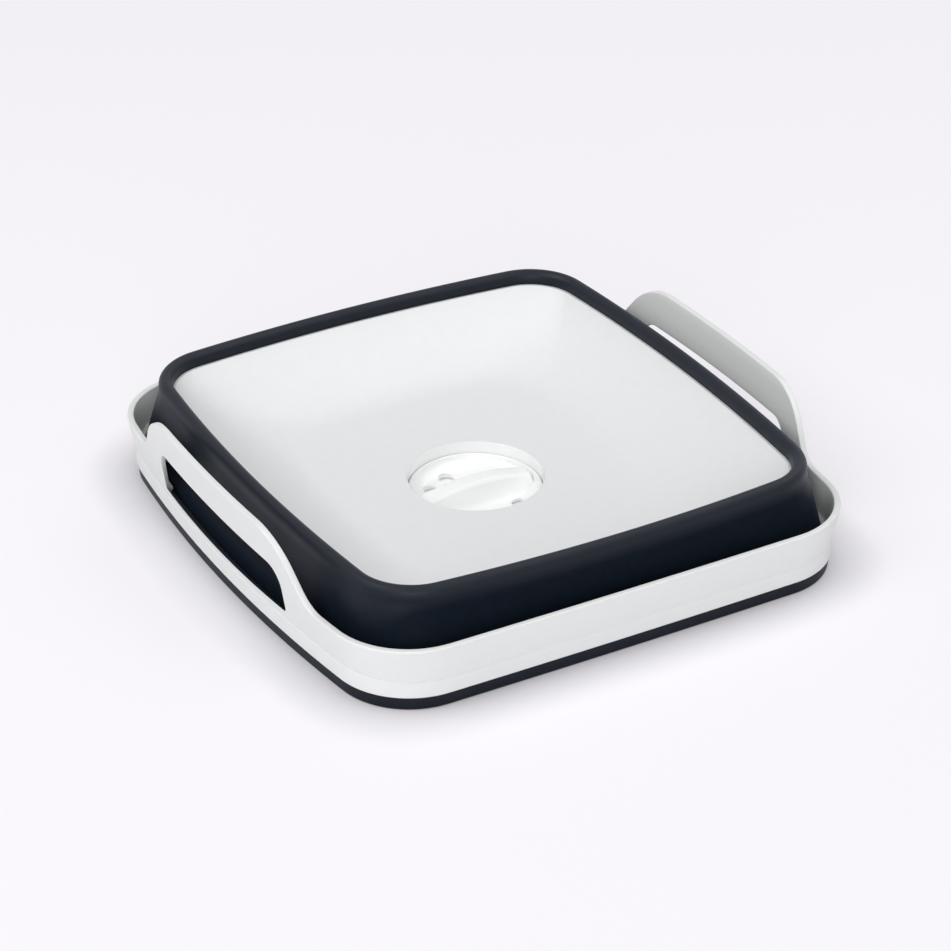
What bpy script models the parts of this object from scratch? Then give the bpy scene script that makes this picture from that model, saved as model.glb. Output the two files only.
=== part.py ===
"""Collapsible camp washbasin, shown folded flat: a square rim with two handles,
a soft wall that turns inside out, and a dished floor with a twist drain.

Run with: blender --background --python part.py
All sizes are in metres, +Z is up, and the basin stands on z = 0.
"""

import math
from collections import namedtuple

import bmesh
import bpy

# Fits
SEAT_GAP = 0.0003
CUT_OVERRUN = 0.003
SINK_IN = 0.0008

# Rim outline, measured round its top outer edge
RIM_HALF_X = 0.165
RIM_HALF_Y = 0.170
RIM_CORNER = 0.0485
RIM_BOW_X = 0.0135
RIM_BOW_Y = 0.0015

# Rim section, from the bottom of the upright band to the flared lip
RIM_BOTTOM_Z = 0.008
BAND_HEIGHT = 0.010
CREASE_Z = RIM_BOTTOM_Z + BAND_HEIGHT
FLARE_HEIGHT = 0.0212
RIM_TOP_Z = CREASE_Z + FLARE_HEIGHT
BAND_INSET = 0.0037
BAND_WALL = 0.0023
CHANNEL_INSET = BAND_INSET + BAND_WALL
LIP_WALL = 0.0036
LIP_ROUND = 0.0006
LEDGE_RISE = 0.0025
LEDGE_Z = CREASE_Z + LEDGE_RISE
LEDGE_THICK = 0.0025
COLLAR_THICK = 0.0024
LEDGE_REACH = CHANNEL_INSET + SEAT_GAP + COLLAR_THICK
FLARE_FOOT_INSET = 0.0061
EDGE_BREAK = 0.0004

# Handles, raised from the rim on the two bowed sides
HANDLE_RISE = 0.0338
HANDLE_TOP_Z = RIM_TOP_Z + HANDLE_RISE
HANDLE_FLARE = 0.0045
HANDLE_CORNER_GAP = 0.0157
HANDLE_SHOULDER_R = 0.040
HANDLE_FOOT_R = 0.020
HANDLE_SLOPE_DEG = 53.0
SLOT_SILL = 0.0017
SLOT_BOTTOM_Z = LEDGE_Z + SLOT_SILL
SLOT_BOTTOM_SAG = 0.0018
SLOT_BRIDGE = 0.0225
SLOT_TOP_Z = HANDLE_TOP_Z - SLOT_BRIDGE
SLOT_END_GAP = 0.0357
SLOT_CORNER_R = 0.012

# Soft skirt, collar and hem under the rim
SKIRT_FOOT_INSET = 0.005
SKIRT_FOOT_ROUND = 0.0008
SKIRT_TOP_INSET = 0.0044
SKIRT_FOOT_WIDTH = 0.0038
HEM_RISE = 0.0037
HEM_Z = RIM_BOTTOM_Z + HEM_RISE
HEM_THICK = 0.0025
HEM_DRAFT = 0.0013
HEM_OVERHANG = 0.0004

# Twist plug and its seat, from the spindle's foot up
SPINDLE_FOOT_Z = 0.0052
SPINDLE_R = 0.0038
HUB_R = 0.008
HUB_DROP = 0.0008
CUP_FLOOR_THICK = 0.002
CUP_FLOOR_Z = SPINDLE_FOOT_Z + HUB_DROP + CUP_FLOOR_THICK
PLUG_R = 0.0385
PLUG_CLEARANCE = 0.0004
PLUG_HEIGHT = 0.0092
PLUG_BASE_Z = CUP_FLOOR_Z + PLUG_CLEARANCE
PLUG_TOP_Z = PLUG_BASE_Z + PLUG_HEIGHT
PLUG_DISH_DEPTH = 0.0072
PLUG_DISH_Z = PLUG_TOP_Z - PLUG_DISH_DEPTH
PLUG_LIP = 0.0016
PLUG_BOWL_RUN = 0.0059
PLUG_DISH_R = PLUG_R - PLUG_LIP - PLUG_BOWL_RUN
SEAL_DROP = 0.002
SEAL_GROOVE_HEIGHT = 0.0027
SEAL_GROOVE_DEPTH = 0.0015
SEAL_GROOVE_TOP_Z = PLUG_TOP_Z - SEAL_DROP
SEAL_GROOVE_Z = SEAL_GROOVE_TOP_Z - SEAL_GROOVE_HEIGHT
SEAL_TUBE_R = 0.00065
GRIP_END_GAP = 0.0042
GRIP_HALF_LENGTH = PLUG_R - GRIP_END_GAP
GRIP_WIDTH = 0.0065
GRIP_FOOT_WIDTH = 0.021
GRIP_END_DROP = 0.0001
GRIP_ARCH = 0.0035
GRIP_END_Z = PLUG_TOP_Z - GRIP_END_DROP
GRIP_MIDDLE_Z = GRIP_END_Z + GRIP_ARCH
HOLE_R = 0.0047
HOLE_CIRCLE_INSET = 0.0123
HOLE_CIRCLE_R = PLUG_R - HOLE_CIRCLE_INSET
HOLE_ANGLES_DEG = (100.0, 135.0)
TWIST_DEG = 60.0
WASHER_R = 0.0072
WASHER_THICK = 0.001
SCREW_R = 0.0012
SCREW_HEAD_R = 0.0034
SCREW_HEAD_THICK = 0.0012
SCREW_LENGTH = 0.0052

# Floor levels, from the drain up, and the floor's edge outline inside the rim
FLOOR_THICK = 0.0025
PLUG_SINK = 0.0069
DRAIN_Z = PLUG_TOP_Z + PLUG_SINK
DRAIN_UNDER_Z = DRAIN_Z - FLOOR_THICK
DRAIN_DROP = 0.001
FLAT_Z = DRAIN_Z + DRAIN_DROP
DISH_DEPTH = 0.0309
FLOOR_EDGE_Z = FLAT_Z + DISH_DEPTH
DISH_POWER = 1.8
FOLD_SPACE_X = 0.0265
FOLD_SPACE_Y = 0.022
FLOOR_HALF_X = RIM_HALF_X - FOLD_SPACE_X
FLOOR_HALF_Y = RIM_HALF_Y - FOLD_SPACE_Y
FLOOR_CORNER = 0.030
FLOOR_BOW_X = 0.0095
FLOOR_BOW_Y = 0.009
FLANGE_REACH = 0.004

# Flat middle of the floor and the foot under it
DISH_RUN_X = 0.0545
DISH_RUN_Y = 0.055
FLAT_HALF_X = FLOOR_HALF_X - DISH_RUN_X
FLAT_HALF_Y = FLOOR_HALF_Y - DISH_RUN_Y
FLAT_CORNER = 0.040
FLAT_BOW = 0.005
FOOT_Z = 0.001
FOOT_WALL = 0.0022
FOOT_NOTCH_HEIGHT = 0.012
FOOT_NOTCH_Z = FOOT_Z + FOOT_NOTCH_HEIGHT
FOOT_LENGTH_X = 0.038
FOOT_LENGTH_Y = 0.039
FOOT_NOTCH_HALF_X = FLAT_HALF_X - FOOT_LENGTH_X
FOOT_NOTCH_HALF_Y = FLAT_HALF_Y - FOOT_LENGTH_Y
RIB_THICK = 0.002
RIB_HEIGHT = 0.0085
RIB_FOOT_Z = DRAIN_UNDER_Z - RIB_HEIGHT

# Soft wall that folds over between the ridge and the hem
WALL_THICK = 0.0018
WALL_DROP = 0.0011
WALL_TOP_Z = FLOOR_EDGE_Z - WALL_DROP
KNEE_RISE = 0.0035
WALL_KNEE_Z = LEDGE_Z + KNEE_RISE
WALL_GAP = 0.0011
WALL_FOOT_INSET = LEDGE_REACH + WALL_GAP
HEM_INSET = WALL_FOOT_INSET + WALL_THICK + HEM_OVERHANG

# Soft ridge round the floor
RIDGE_WIDTH = 0.0078
RIDGE_RISE = 0.0081
RIDGE_TOP_Z = FLOOR_EDGE_Z + RIDGE_RISE
RIDGE_GRIP_DROP = 0.0054
RIDGE_FOOT_Z = FLOOR_EDGE_Z - RIDGE_GRIP_DROP
RIDGE_GRIP_WIDTH = RIDGE_WIDTH - WALL_THICK - SEAT_GAP
RIDGE_LIP_REACH = 0.0018

# Drain cup, gasket, collar and retaining ring
CUP_FIT = 0.0004
CUP_SEAT_R = PLUG_R + CUP_FIT
CUP_TAPER = 0.0004
CUP_FOOT_R = CUP_SEAT_R - CUP_TAPER
CUP_WALL = 0.0018
CUP_R = CUP_SEAT_R + CUP_WALL
CUP_LIP = 0.0014
CUP_FLANGE_REACH = 0.0077
CUP_FLANGE_R = CUP_R + CUP_FLANGE_REACH
GASKET_THICK = 0.0013
CUP_FLANGE_Z = DRAIN_UNDER_Z - GASKET_THICK - 2 * SEAT_GAP
CUP_FLANGE_THICK = 0.0018
COLLAR_WALL = 0.0024
COLLAR_HEIGHT = 0.011
COLLAR_FOOT_Z = DRAIN_UNDER_Z - COLLAR_HEIGHT
RING_WALL_IN = CUP_R + SEAT_GAP
RING_HEIGHT = 0.0042
RING_NOTCH_DEPTH = 0.0018
RING_NOTCH_WIDTH = 0.006
RING_NOTCHES = 6

# Facets
SIDE_STEPS = 3
CORNER_STEPS = 8
HANDLE_STEPS = 12
TURN_STEPS = 40
SMALL_STEPS = 16

Outline = namedtuple("Outline", "half_x half_y corner bow_x bow_y")

RIM = Outline(RIM_HALF_X, RIM_HALF_Y, RIM_CORNER, RIM_BOW_X, RIM_BOW_Y)
FLOOR = Outline(FLOOR_HALF_X, FLOOR_HALF_Y, FLOOR_CORNER, FLOOR_BOW_X, FLOOR_BOW_Y)
FLAT = Outline(FLAT_HALF_X, FLAT_HALF_Y, FLAT_CORNER, FLAT_BOW, FLAT_BOW)


def grown(outline, by):
    """The outline moved outwards by a distance, or inwards by a negative one."""
    return outline._replace(half_x=outline.half_x + by, half_y=outline.half_y + by,
                            corner=outline.corner + by)


def between(start, end, share):
    """An outline part of the way from one to another."""
    return Outline(*(a + (b - a) * share for a, b in zip(start, end)))


def even_shares(steps):
    """Shares from 0 up to, but not including, 1."""
    return [step / steps for step in range(steps)]


def quarter(outline, side_shares):
    """One quarter of an outline: bowed X side, round corner, bowed Y side."""
    side_x_r = outline.half_y ** 2 / (2 * outline.bow_x)
    side_y_r = outline.half_x ** 2 / (2 * outline.bow_y)
    centre_x = outline.half_x - side_x_r
    centre_y = outline.half_y - side_y_r
    reach_x = side_x_r - outline.corner
    reach_y = side_y_r - outline.corner
    apart = math.hypot(centre_x, centre_y)
    along = (reach_x ** 2 - reach_y ** 2 + apart ** 2) / (2 * apart)
    across = math.sqrt(reach_x ** 2 - along ** 2)
    to_x, to_y = -centre_x / apart, centre_y / apart
    corner_x = centre_x + along * to_x - across * to_y
    corner_y = along * to_y + across * to_x
    start = math.atan2(corner_y, corner_x - centre_x)
    end = math.atan2(corner_y - centre_y, corner_x)
    points = [(centre_x + side_x_r * math.cos(start * share), side_x_r * math.sin(start * share))
              for share in side_shares]
    for share in even_shares(CORNER_STEPS):
        angle = start + (end - start) * share
        points.append((corner_x + outline.corner * math.cos(angle),
                       corner_y + outline.corner * math.sin(angle)))
    for share in even_shares(SIDE_STEPS) + [1.0]:
        angle = end + (math.pi / 2 - end) * share
        points.append((side_y_r * math.cos(angle), centre_y + side_y_r * math.sin(angle)))
    return points


def loop(outline, side_shares=None):
    """The whole outline, anticlockwise from +X."""
    first = quarter(outline, side_shares or even_shares(SIDE_STEPS))
    second = [(-x, y) for x, y in reversed(first[:-1])]
    half = first + second
    return half + [(-x, -y) for x, y in half[1:-1]]


def round_loop(radius, like):
    """A circle whose points lie in the directions of another loop's points."""
    angles = [math.atan2(y, x) for x, y in like]
    return [(radius * math.cos(angle), radius * math.sin(angle)) for angle in angles]


def at_height(points, height):
    return [(x, y, height) for x, y in points]


def plastic(name, colour, roughness, metallic=0.0):
    """A Principled material of one colour."""
    material = bpy.data.materials.new(name)
    material.use_nodes = True
    shader = material.node_tree.nodes["Principled BSDF"]
    shader.inputs["Base Color"].default_value = (*colour, 1.0)
    shader.inputs["Roughness"].default_value = roughness
    shader.inputs["Metallic"].default_value = metallic
    material.diffuse_color = (*colour, 1.0)
    return material


def add_object(name, mesh, material, smooth_deg=38.0):
    mesh.materials.append(material)
    mesh.shade_smooth()
    mesh.set_sharp_from_angle(angle=math.radians(smooth_deg))
    thing = bpy.data.objects.new(name, mesh)
    bpy.context.collection.objects.link(thing)
    return thing


def finished_mesh(name, form):
    """A mesh from a bmesh, with its faces turned outwards."""
    bmesh.ops.recalc_face_normals(form, faces=form.faces)
    mesh = bpy.data.meshes.new(name)
    form.to_mesh(mesh)
    form.free()
    return mesh


def lofted(name, sections, material):
    """A ring swept through closed sections, the last joined to the first."""
    form = bmesh.new()
    rows = [[form.verts.new(point) for point in section] for section in sections]
    for row, following in zip(rows, rows[1:] + rows[:1]):
        for i in range(len(row)):
            j = (i + 1) % len(row)
            form.faces.new((row[i], row[j], following[j], following[i]))
    return add_object(name, finished_mesh(name, form), material)


def turned(name, profile, material, steps=TURN_STEPS):
    """A profile of (radius, height) points turned about Z. A point on the axis is a pole."""
    form = bmesh.new()
    rows = []
    for radius, height in profile:
        if radius == 0:
            rows.append([form.verts.new((0, 0, height))])
            continue
        turns = [2 * math.pi * step / steps for step in range(steps)]
        rows.append([form.verts.new((radius * math.cos(turn), radius * math.sin(turn), height))
                     for turn in turns])
    for row, following in zip(rows, rows[1:] + rows[:1]):
        if len(row) == 1 and len(following) == 1:
            continue
        for i in range(steps):
            j = (i + 1) % steps
            if len(row) == 1:
                form.faces.new((row[0], following[j], following[i]))
            elif len(following) == 1:
                form.faces.new((row[i], row[j], following[0]))
            else:
                form.faces.new((row[i], row[j], following[j], following[i]))
    return add_object(name, finished_mesh(name, form), material)


def guide(name, form):
    """A hidden solid used only to cut or extend another."""
    thing = bpy.data.objects.new(name, finished_mesh(name, form))
    bpy.context.collection.objects.link(thing)
    thing.display_type = "WIRE"
    thing.hide_render = True
    return thing


def combine(thing, other, operation):
    modifier = thing.modifiers.new(other.name, "BOOLEAN")
    modifier.operation = operation
    modifier.solver = "EXACT"
    modifier.object = other


def add_box(form, low, high, turn=0.0):
    """A box between two corners, turned about Z."""
    cosine, sine = math.cos(turn), math.sin(turn)
    corners = []
    for z in (low[2], high[2]):
        for x, y in ((low[0], low[1]), (high[0], low[1]), (high[0], high[1]), (low[0], high[1])):
            corners.append(form.verts.new((x * cosine - y * sine, x * sine + y * cosine, z)))
    form.faces.new(corners[3::-1])
    form.faces.new(corners[4:])
    for i in range(4):
        j = (i + 1) % 4
        form.faces.new((corners[i], corners[j], corners[4 + j], corners[4 + i]))


def add_prism(form, base, lift):
    """A prism from a flat list of points and the vector that it is raised by."""
    low = [form.verts.new(point) for point in base]
    high = [form.verts.new(tuple(a + b for a, b in zip(point, lift))) for point in base]
    form.faces.new(low[::-1])
    form.faces.new(high)
    for i in range(len(low)):
        j = (i + 1) % len(low)
        form.faces.new((low[i], low[j], high[j], high[i]))


def holes(name, angles, low_z, high_z):
    """Upright cylinders on the drain's circle of holes."""
    form = bmesh.new()
    for angle in angles:
        centre_x = HOLE_CIRCLE_R * math.cos(math.radians(angle))
        centre_y = HOLE_CIRCLE_R * math.sin(math.radians(angle))
        turns = [2 * math.pi * step / SMALL_STEPS for step in range(SMALL_STEPS)]
        base = [(centre_x + HOLE_R * math.cos(turn), centre_y + HOLE_R * math.sin(turn), low_z)
                for turn in turns]
        add_prism(form, base, (0, 0, high_z - low_z))
    return guide(name, form)


def handle_places():
    """Where a handle's edge changes along its side: flat, shoulder, slope, foot curve, rim."""
    slope = math.radians(HANDLE_SLOPE_DEG)
    end = quarter(RIM, [0.0, 1.0])[1][1] - HANDLE_CORNER_GAP
    bend = end - HANDLE_FOOT_R * math.sin(slope)
    rounded = (HANDLE_SHOULDER_R + HANDLE_FOOT_R) * (1 - math.cos(slope))
    shoulder_end = bend - (HANDLE_RISE - rounded) / math.tan(slope)
    flat_half = shoulder_end - HANDLE_SHOULDER_R * math.sin(slope)
    return flat_half, shoulder_end, bend, end


def rim_edge_z(along):
    """Height of the rim's top edge at a place along a handle side."""
    slope = math.radians(HANDLE_SLOPE_DEG)
    flat_half, shoulder_end, bend, end = handle_places()
    along = abs(along)
    if along <= flat_half:
        return HANDLE_TOP_Z
    if along <= shoulder_end:
        return (HANDLE_TOP_Z - HANDLE_SHOULDER_R
                + math.sqrt(HANDLE_SHOULDER_R ** 2 - (along - flat_half) ** 2))
    if along <= bend:
        drop = HANDLE_SHOULDER_R * (1 - math.cos(slope))
        return HANDLE_TOP_Z - drop - (along - shoulder_end) * math.tan(slope)
    if along <= end:
        return (RIM_TOP_Z + HANDLE_FOOT_R
                - math.sqrt(HANDLE_FOOT_R ** 2 - (end - along) ** 2))
    return RIM_TOP_Z


def rim_side_shares():
    """Places along half of a handle side, close together where its edge curves."""
    flat_half, _, _, end = handle_places()
    reach = end + HANDLE_CORNER_GAP
    flat = [flat_half * share for share in even_shares(2)]
    curve = [flat_half + (end - flat_half) * share for share in even_shares(HANDLE_STEPS)]
    return [place / reach for place in flat + curve + [end]]


def rim_sections():
    """Loops round the rim's section: band, crease, flared wall, lip and inner ledge."""
    shares = rim_side_shares()
    edge = [rim_edge_z(y) for x, y in loop(RIM, shares)]

    def fixed(inset, height):
        return at_height(loop(grown(RIM, -inset), shares), height)

    def leaning(depth, below):
        low = loop(grown(RIM, -depth), shares)
        high = loop(grown(RIM, HANDLE_FLARE - depth), shares)
        points = []
        for (low_x, low_y), (high_x, high_y), top in zip(low, high, edge):
            rise = (top - RIM_TOP_Z) / HANDLE_RISE
            points.append((low_x + (high_x - low_x) * rise, low_y + (high_y - low_y) * rise, top - below))
        return points

    return [
        fixed(BAND_INSET + EDGE_BREAK, RIM_BOTTOM_Z),
        fixed(BAND_INSET, RIM_BOTTOM_Z + EDGE_BREAK),
        fixed(BAND_INSET, CREASE_Z),
        leaning(0, LIP_ROUND),
        leaning(LIP_ROUND, 0),
        leaning(LIP_WALL - LIP_ROUND, 0),
        leaning(LIP_WALL, LIP_ROUND),
        fixed(FLARE_FOOT_INSET, LEDGE_Z + EDGE_BREAK),
        fixed(LEDGE_REACH, LEDGE_Z),
        fixed(LEDGE_REACH, LEDGE_Z - LEDGE_THICK),
        fixed(CHANNEL_INSET, LEDGE_Z - LEDGE_THICK),
        fixed(CHANNEL_INSET, RIM_BOTTOM_Z),
    ]


def slot_cutter(side):
    """The finger slot of one handle, as a prism through the wall."""
    slot_half = handle_places()[3] - SLOT_END_GAP
    arc_y = slot_half - SLOT_CORNER_R
    arc_z = SLOT_TOP_Z - SLOT_CORNER_R
    right = [(slot_half * share, SLOT_BOTTOM_Z + SLOT_BOTTOM_SAG * share ** 2)
             for share in even_shares(SIDE_STEPS) + [1.0]]
    for share in even_shares(CORNER_STEPS) + [1.0]:
        angle = math.pi / 2 * share
        right.append((arc_y + SLOT_CORNER_R * math.cos(angle), arc_z + SLOT_CORNER_R * math.sin(angle)))
    ring = right + [(-y, z) for y, z in reversed(right[1:])]
    start = side * (RIM_HALF_X - RIM_BOW_X - LEDGE_REACH)
    reach = side * (RIM_BOW_X + LEDGE_REACH + HANDLE_FLARE + CUT_OVERRUN)
    form = bmesh.new()
    add_prism(form, [(start, y, z) for y, z in ring], (reach, 0, 0))
    return guide(f"slot_cutter_{'right' if side > 0 else 'left'}", form)


def make_rim(material):
    """White rim with its crease, flared lip and two handles."""
    rim = lofted("rim_frame", rim_sections(), material)
    for side in (-1, 1):
        combine(rim, slot_cutter(side), "DIFFERENCE")


def make_skirt(material):
    """Soft collar held in the rim's channel, with the hem and the skirt that the basin stands on."""
    collar_inset = CHANNEL_INSET + SEAT_GAP
    collar_top_z = LEDGE_Z - LEDGE_THICK - SEAT_GAP
    inner_inset = SKIRT_FOOT_INSET + SKIRT_FOOT_WIDTH
    profile = [
        (SKIRT_FOOT_INSET + SKIRT_FOOT_ROUND, 0),
        (SKIRT_FOOT_INSET, SKIRT_FOOT_ROUND),
        (SKIRT_TOP_INSET, RIM_BOTTOM_Z - SEAT_GAP),
        (collar_inset, RIM_BOTTOM_Z - SEAT_GAP),
        (collar_inset, collar_top_z),
        (LEDGE_REACH, collar_top_z),
        (LEDGE_REACH, HEM_Z),
        (HEM_INSET, HEM_Z),
        (HEM_INSET, HEM_Z - HEM_THICK),
        (inner_inset, HEM_Z - HEM_THICK - HEM_DRAFT),
        (inner_inset, 0),
    ]
    lofted("foot_skirt", [at_height(loop(grown(RIM, -inset)), height) for inset, height in profile],
           material)


def wall_face(depth):
    """Loops up one face of the folding wall: upright to its knee, then leaning in to the ridge."""
    foot = grown(RIM, -WALL_FOOT_INSET - depth)
    top = grown(FLOOR, RIDGE_WIDTH - depth)
    sections = [at_height(loop(foot), HEM_Z + SEAT_GAP)]
    for share in even_shares(SIDE_STEPS) + [1.0]:
        height = WALL_KNEE_Z + (WALL_TOP_Z - WALL_KNEE_Z) * share
        sections.append(at_height(loop(between(foot, top, share)), height))
    return sections


def make_wall(material):
    """Soft wall that folds over between the hem and the ridge."""
    lofted("fold_wall", wall_face(0) + wall_face(WALL_THICK)[::-1], material)


def make_ridge(material):
    """Soft rounded ridge that grips the edge of the floor."""
    crest_shares = ((1.0, 0.42), (0.92, 0.72), (0.69, 0.96), (0.35, 0.98), (0.09, 0.74), (0.0, 0.38))
    cap_z = WALL_TOP_Z + SEAT_GAP
    grip_z = FLOOR_EDGE_Z - FLOOR_THICK - SEAT_GAP
    slot_out = FLANGE_REACH + SEAT_GAP
    profile = [(RIDGE_WIDTH * across, FLOOR_EDGE_Z + RIDGE_RISE * up) for across, up in crest_shares]
    profile += [
        (0, FLOOR_EDGE_Z + SEAT_GAP),
        (slot_out, FLOOR_EDGE_Z + SEAT_GAP),
        (slot_out, grip_z),
        (RIDGE_LIP_REACH, grip_z),
        (RIDGE_LIP_REACH, RIDGE_FOOT_Z),
        (RIDGE_GRIP_WIDTH, RIDGE_FOOT_Z),
        (RIDGE_GRIP_WIDTH, cap_z),
        (RIDGE_WIDTH, cap_z),
    ]
    lofted("ridge_bead", [at_height(loop(grown(FLOOR, out)), height) for out, height in profile], material)


def dish_z(share):
    """Height of the floor's upper face, from the flat (0) to its edge (1)."""
    return FLAT_Z + DISH_DEPTH * share ** DISH_POWER


def dish_under_z(share):
    """Height of the floor's lower face, one wall thickness under the upper face."""
    slope = DISH_DEPTH * DISH_POWER * share ** (DISH_POWER - 1) / DISH_RUN_X
    return dish_z(share) - FLOOR_THICK * math.sqrt(1 + slope ** 2)


def make_floor(material):
    """Dished floor with its edge flange, drain collar, corner feet and ribs."""
    steps = 5
    rise_shares = [step / steps for step in range(steps, -1, -1)]
    flat = loop(FLAT)
    collar_in = CUP_FLANGE_R + 2 * SEAT_GAP
    collar_out = collar_in + COLLAR_WALL
    flat_under_z = FLAT_Z - FLOOR_THICK
    flange_foot_z = FLOOR_EDGE_Z - FLOOR_THICK
    sections = [at_height(loop(grown(FLOOR, FLANGE_REACH)), FLOOR_EDGE_Z)]
    sections += [at_height(loop(between(FLAT, FLOOR, share)), dish_z(share)) for share in rise_shares]
    well = ((CUP_R + SEAT_GAP, DRAIN_Z), (CUP_R + SEAT_GAP, DRAIN_UNDER_Z), (collar_in, DRAIN_UNDER_Z),
            (collar_in, COLLAR_FOOT_Z), (collar_out, COLLAR_FOOT_Z), (collar_out, DRAIN_UNDER_Z))
    sections += [at_height(round_loop(radius, flat), height) for radius, height in well]
    foot_in = loop(grown(FLAT, -FOOT_WALL))
    sections += [at_height(foot_in, flat_under_z), at_height(foot_in, FOOT_Z), at_height(flat, FOOT_Z)]
    sections.append(at_height(flat, flat_under_z))
    sections += [at_height(loop(between(FLAT, FLOOR, share)), dish_under_z(share))
                 for share in reversed(rise_shares[1:-1])]
    sections.append(at_height(loop(grown(FLOOR, -SEAT_GAP)), flange_foot_z))
    sections.append(at_height(loop(grown(FLOOR, FLANGE_REACH)), flange_foot_z))
    floor = lofted("floor_panel", sections, material)
    combine(floor, foot_notches(), "DIFFERENCE")
    combine(floor, floor_ribs(collar_out), "UNION")


def foot_notches():
    """Gaps in the foot's four sides, which leave a foot at each corner and let water out."""
    form = bmesh.new()
    reach_x = FLAT_HALF_X + CUT_OVERRUN
    reach_y = FLAT_HALF_Y + CUT_OVERRUN
    inner_x = FLAT_HALF_X - FLAT_BOW - FOOT_WALL - CUT_OVERRUN
    inner_y = FLAT_HALF_Y - FLAT_BOW - FOOT_WALL - CUT_OVERRUN
    low_z = FOOT_Z - CUT_OVERRUN
    for side in (-1, 1):
        span_x = sorted((side * inner_x, side * reach_x))
        span_y = sorted((side * inner_y, side * reach_y))
        add_box(form, (span_x[0], -FOOT_NOTCH_HALF_Y, low_z), (span_x[1], FOOT_NOTCH_HALF_Y, FOOT_NOTCH_Z))
        add_box(form, (-FOOT_NOTCH_HALF_X, span_y[0], low_z), (FOOT_NOTCH_HALF_X, span_y[1], FOOT_NOTCH_Z))
    return guide("foot_notch_cutter", form)


def floor_ribs(collar_out):
    """Ribs under the flat, from the drain collar out to the foot."""
    form = bmesh.new()
    top_z = DRAIN_Z - FLOOR_THICK / 2
    start = collar_out - COLLAR_WALL / 2
    corner_reach = math.hypot(FLAT_HALF_X, FLAT_HALF_Y) - FLAT_CORNER * (math.sqrt(2) - 1) - FLAT_BOW
    reaches = (FLAT_HALF_X, corner_reach, FLAT_HALF_Y, corner_reach)
    corner_turn = math.atan2(FLAT_HALF_Y, FLAT_HALF_X)
    turns = (0, corner_turn, math.pi / 2, math.pi - corner_turn)
    for half_turn in (0, math.pi):
        for reach, turn in zip(reaches, turns):
            end = reach - FOOT_WALL / 2 if turn in (0, math.pi / 2) else reach - FOOT_WALL * 2
            add_box(form, (start, -RIB_THICK / 2, RIB_FOOT_Z), (end, RIB_THICK / 2, top_z), turn + half_turn)
    return guide("floor_rib_guide", form)


def make_drain_cup(material):
    """Drain cup let into the floor, with its clamping flange, hub and outlet holes."""
    foot_z = CUP_FLOOR_Z - CUP_FLOOR_THICK
    bore_r = SPINDLE_R + SEAT_GAP
    profile = [
        (CUP_R, DRAIN_Z - EDGE_BREAK),
        (CUP_R - EDGE_BREAK, DRAIN_Z),
        (CUP_R - CUP_LIP / 2, DRAIN_Z),
        (CUP_R - CUP_LIP, DRAIN_Z - EDGE_BREAK),
        (CUP_SEAT_R, SEAL_GROOVE_TOP_Z),
        (CUP_FOOT_R, CUP_FLOOR_Z + EDGE_BREAK),
        (CUP_FOOT_R - EDGE_BREAK, CUP_FLOOR_Z),
        (bore_r, CUP_FLOOR_Z),
        (bore_r, SPINDLE_FOOT_Z),
        (HUB_R - EDGE_BREAK, SPINDLE_FOOT_Z),
        (HUB_R, foot_z),
        (CUP_R - 2 * EDGE_BREAK, foot_z),
        (CUP_R - EDGE_BREAK, foot_z + EDGE_BREAK),
        (CUP_R - EDGE_BREAK, CUP_FLANGE_Z - CUP_FLANGE_THICK),
        (CUP_FLANGE_R, CUP_FLANGE_Z - CUP_FLANGE_THICK),
        (CUP_FLANGE_R, CUP_FLANGE_Z),
        (CUP_R, CUP_FLANGE_Z),
    ]
    cup = turned("drain_cup", profile, material)
    outlets = [start + TWIST_DEG + half for start in HOLE_ANGLES_DEG for half in (0, 180)]
    cutter = holes("outlet_cutter", outlets, foot_z - CUT_OVERRUN, CUP_FLOOR_Z + CUT_OVERRUN)
    combine(cup, cutter, "DIFFERENCE")


def ring_profile(inner, outer, low, high):
    return [(outer, high), (inner, high), (inner, low), (outer, low)]


def make_gasket(material):
    """Flat ring squeezed between the cup's flange and the floor."""
    foot_z = CUP_FLANGE_Z + SEAT_GAP
    turned("cup_gasket", ring_profile(CUP_R + SEAT_GAP, CUP_FLANGE_R, foot_z, foot_z + GASKET_THICK),
           material)


def make_retaining_ring(material):
    """Ring that screws into the floor's collar and holds the cup, with key notches."""
    top_z = CUP_FLANGE_Z - CUP_FLANGE_THICK - SEAT_GAP
    foot_z = top_z - RING_HEIGHT
    outer = CUP_FLANGE_R + SEAT_GAP
    ring = turned("retaining_ring", ring_profile(RING_WALL_IN, outer, foot_z, top_z), material)
    form = bmesh.new()
    for index in range(RING_NOTCHES):
        add_box(form, (RING_WALL_IN - CUT_OVERRUN, -RING_NOTCH_WIDTH / 2, foot_z - CUT_OVERRUN),
                ((RING_WALL_IN + outer) / 2, RING_NOTCH_WIDTH / 2, foot_z + RING_NOTCH_DEPTH),
                2 * math.pi * (index + 1 / 2) / RING_NOTCHES)
    combine(ring, guide("key_notch_cutter", form), "DIFFERENCE")


def grip_section(along):
    """Half of the grip bar's cross-section, from its foot up to its middle line."""
    top = GRIP_END_Z + GRIP_ARCH * (1 - (along / GRIP_HALF_LENGTH) ** 2)
    foot = PLUG_DISH_Z
    rise = top - foot
    half_top = GRIP_WIDTH / 2
    spread = GRIP_FOOT_WIDTH / 2 - half_top
    flank_shares = ((1.0, 0.0), (0.55, 0.10), (0.27, 0.28), (0.12, 0.52), (0.03, 0.82))
    flank = [(half_top + spread * out, foot + rise * up) for out, up in flank_shares]
    flank.append((half_top - EDGE_BREAK, top - EDGE_BREAK / 2))
    flank.append((half_top / 2, top))
    return flank


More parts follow.
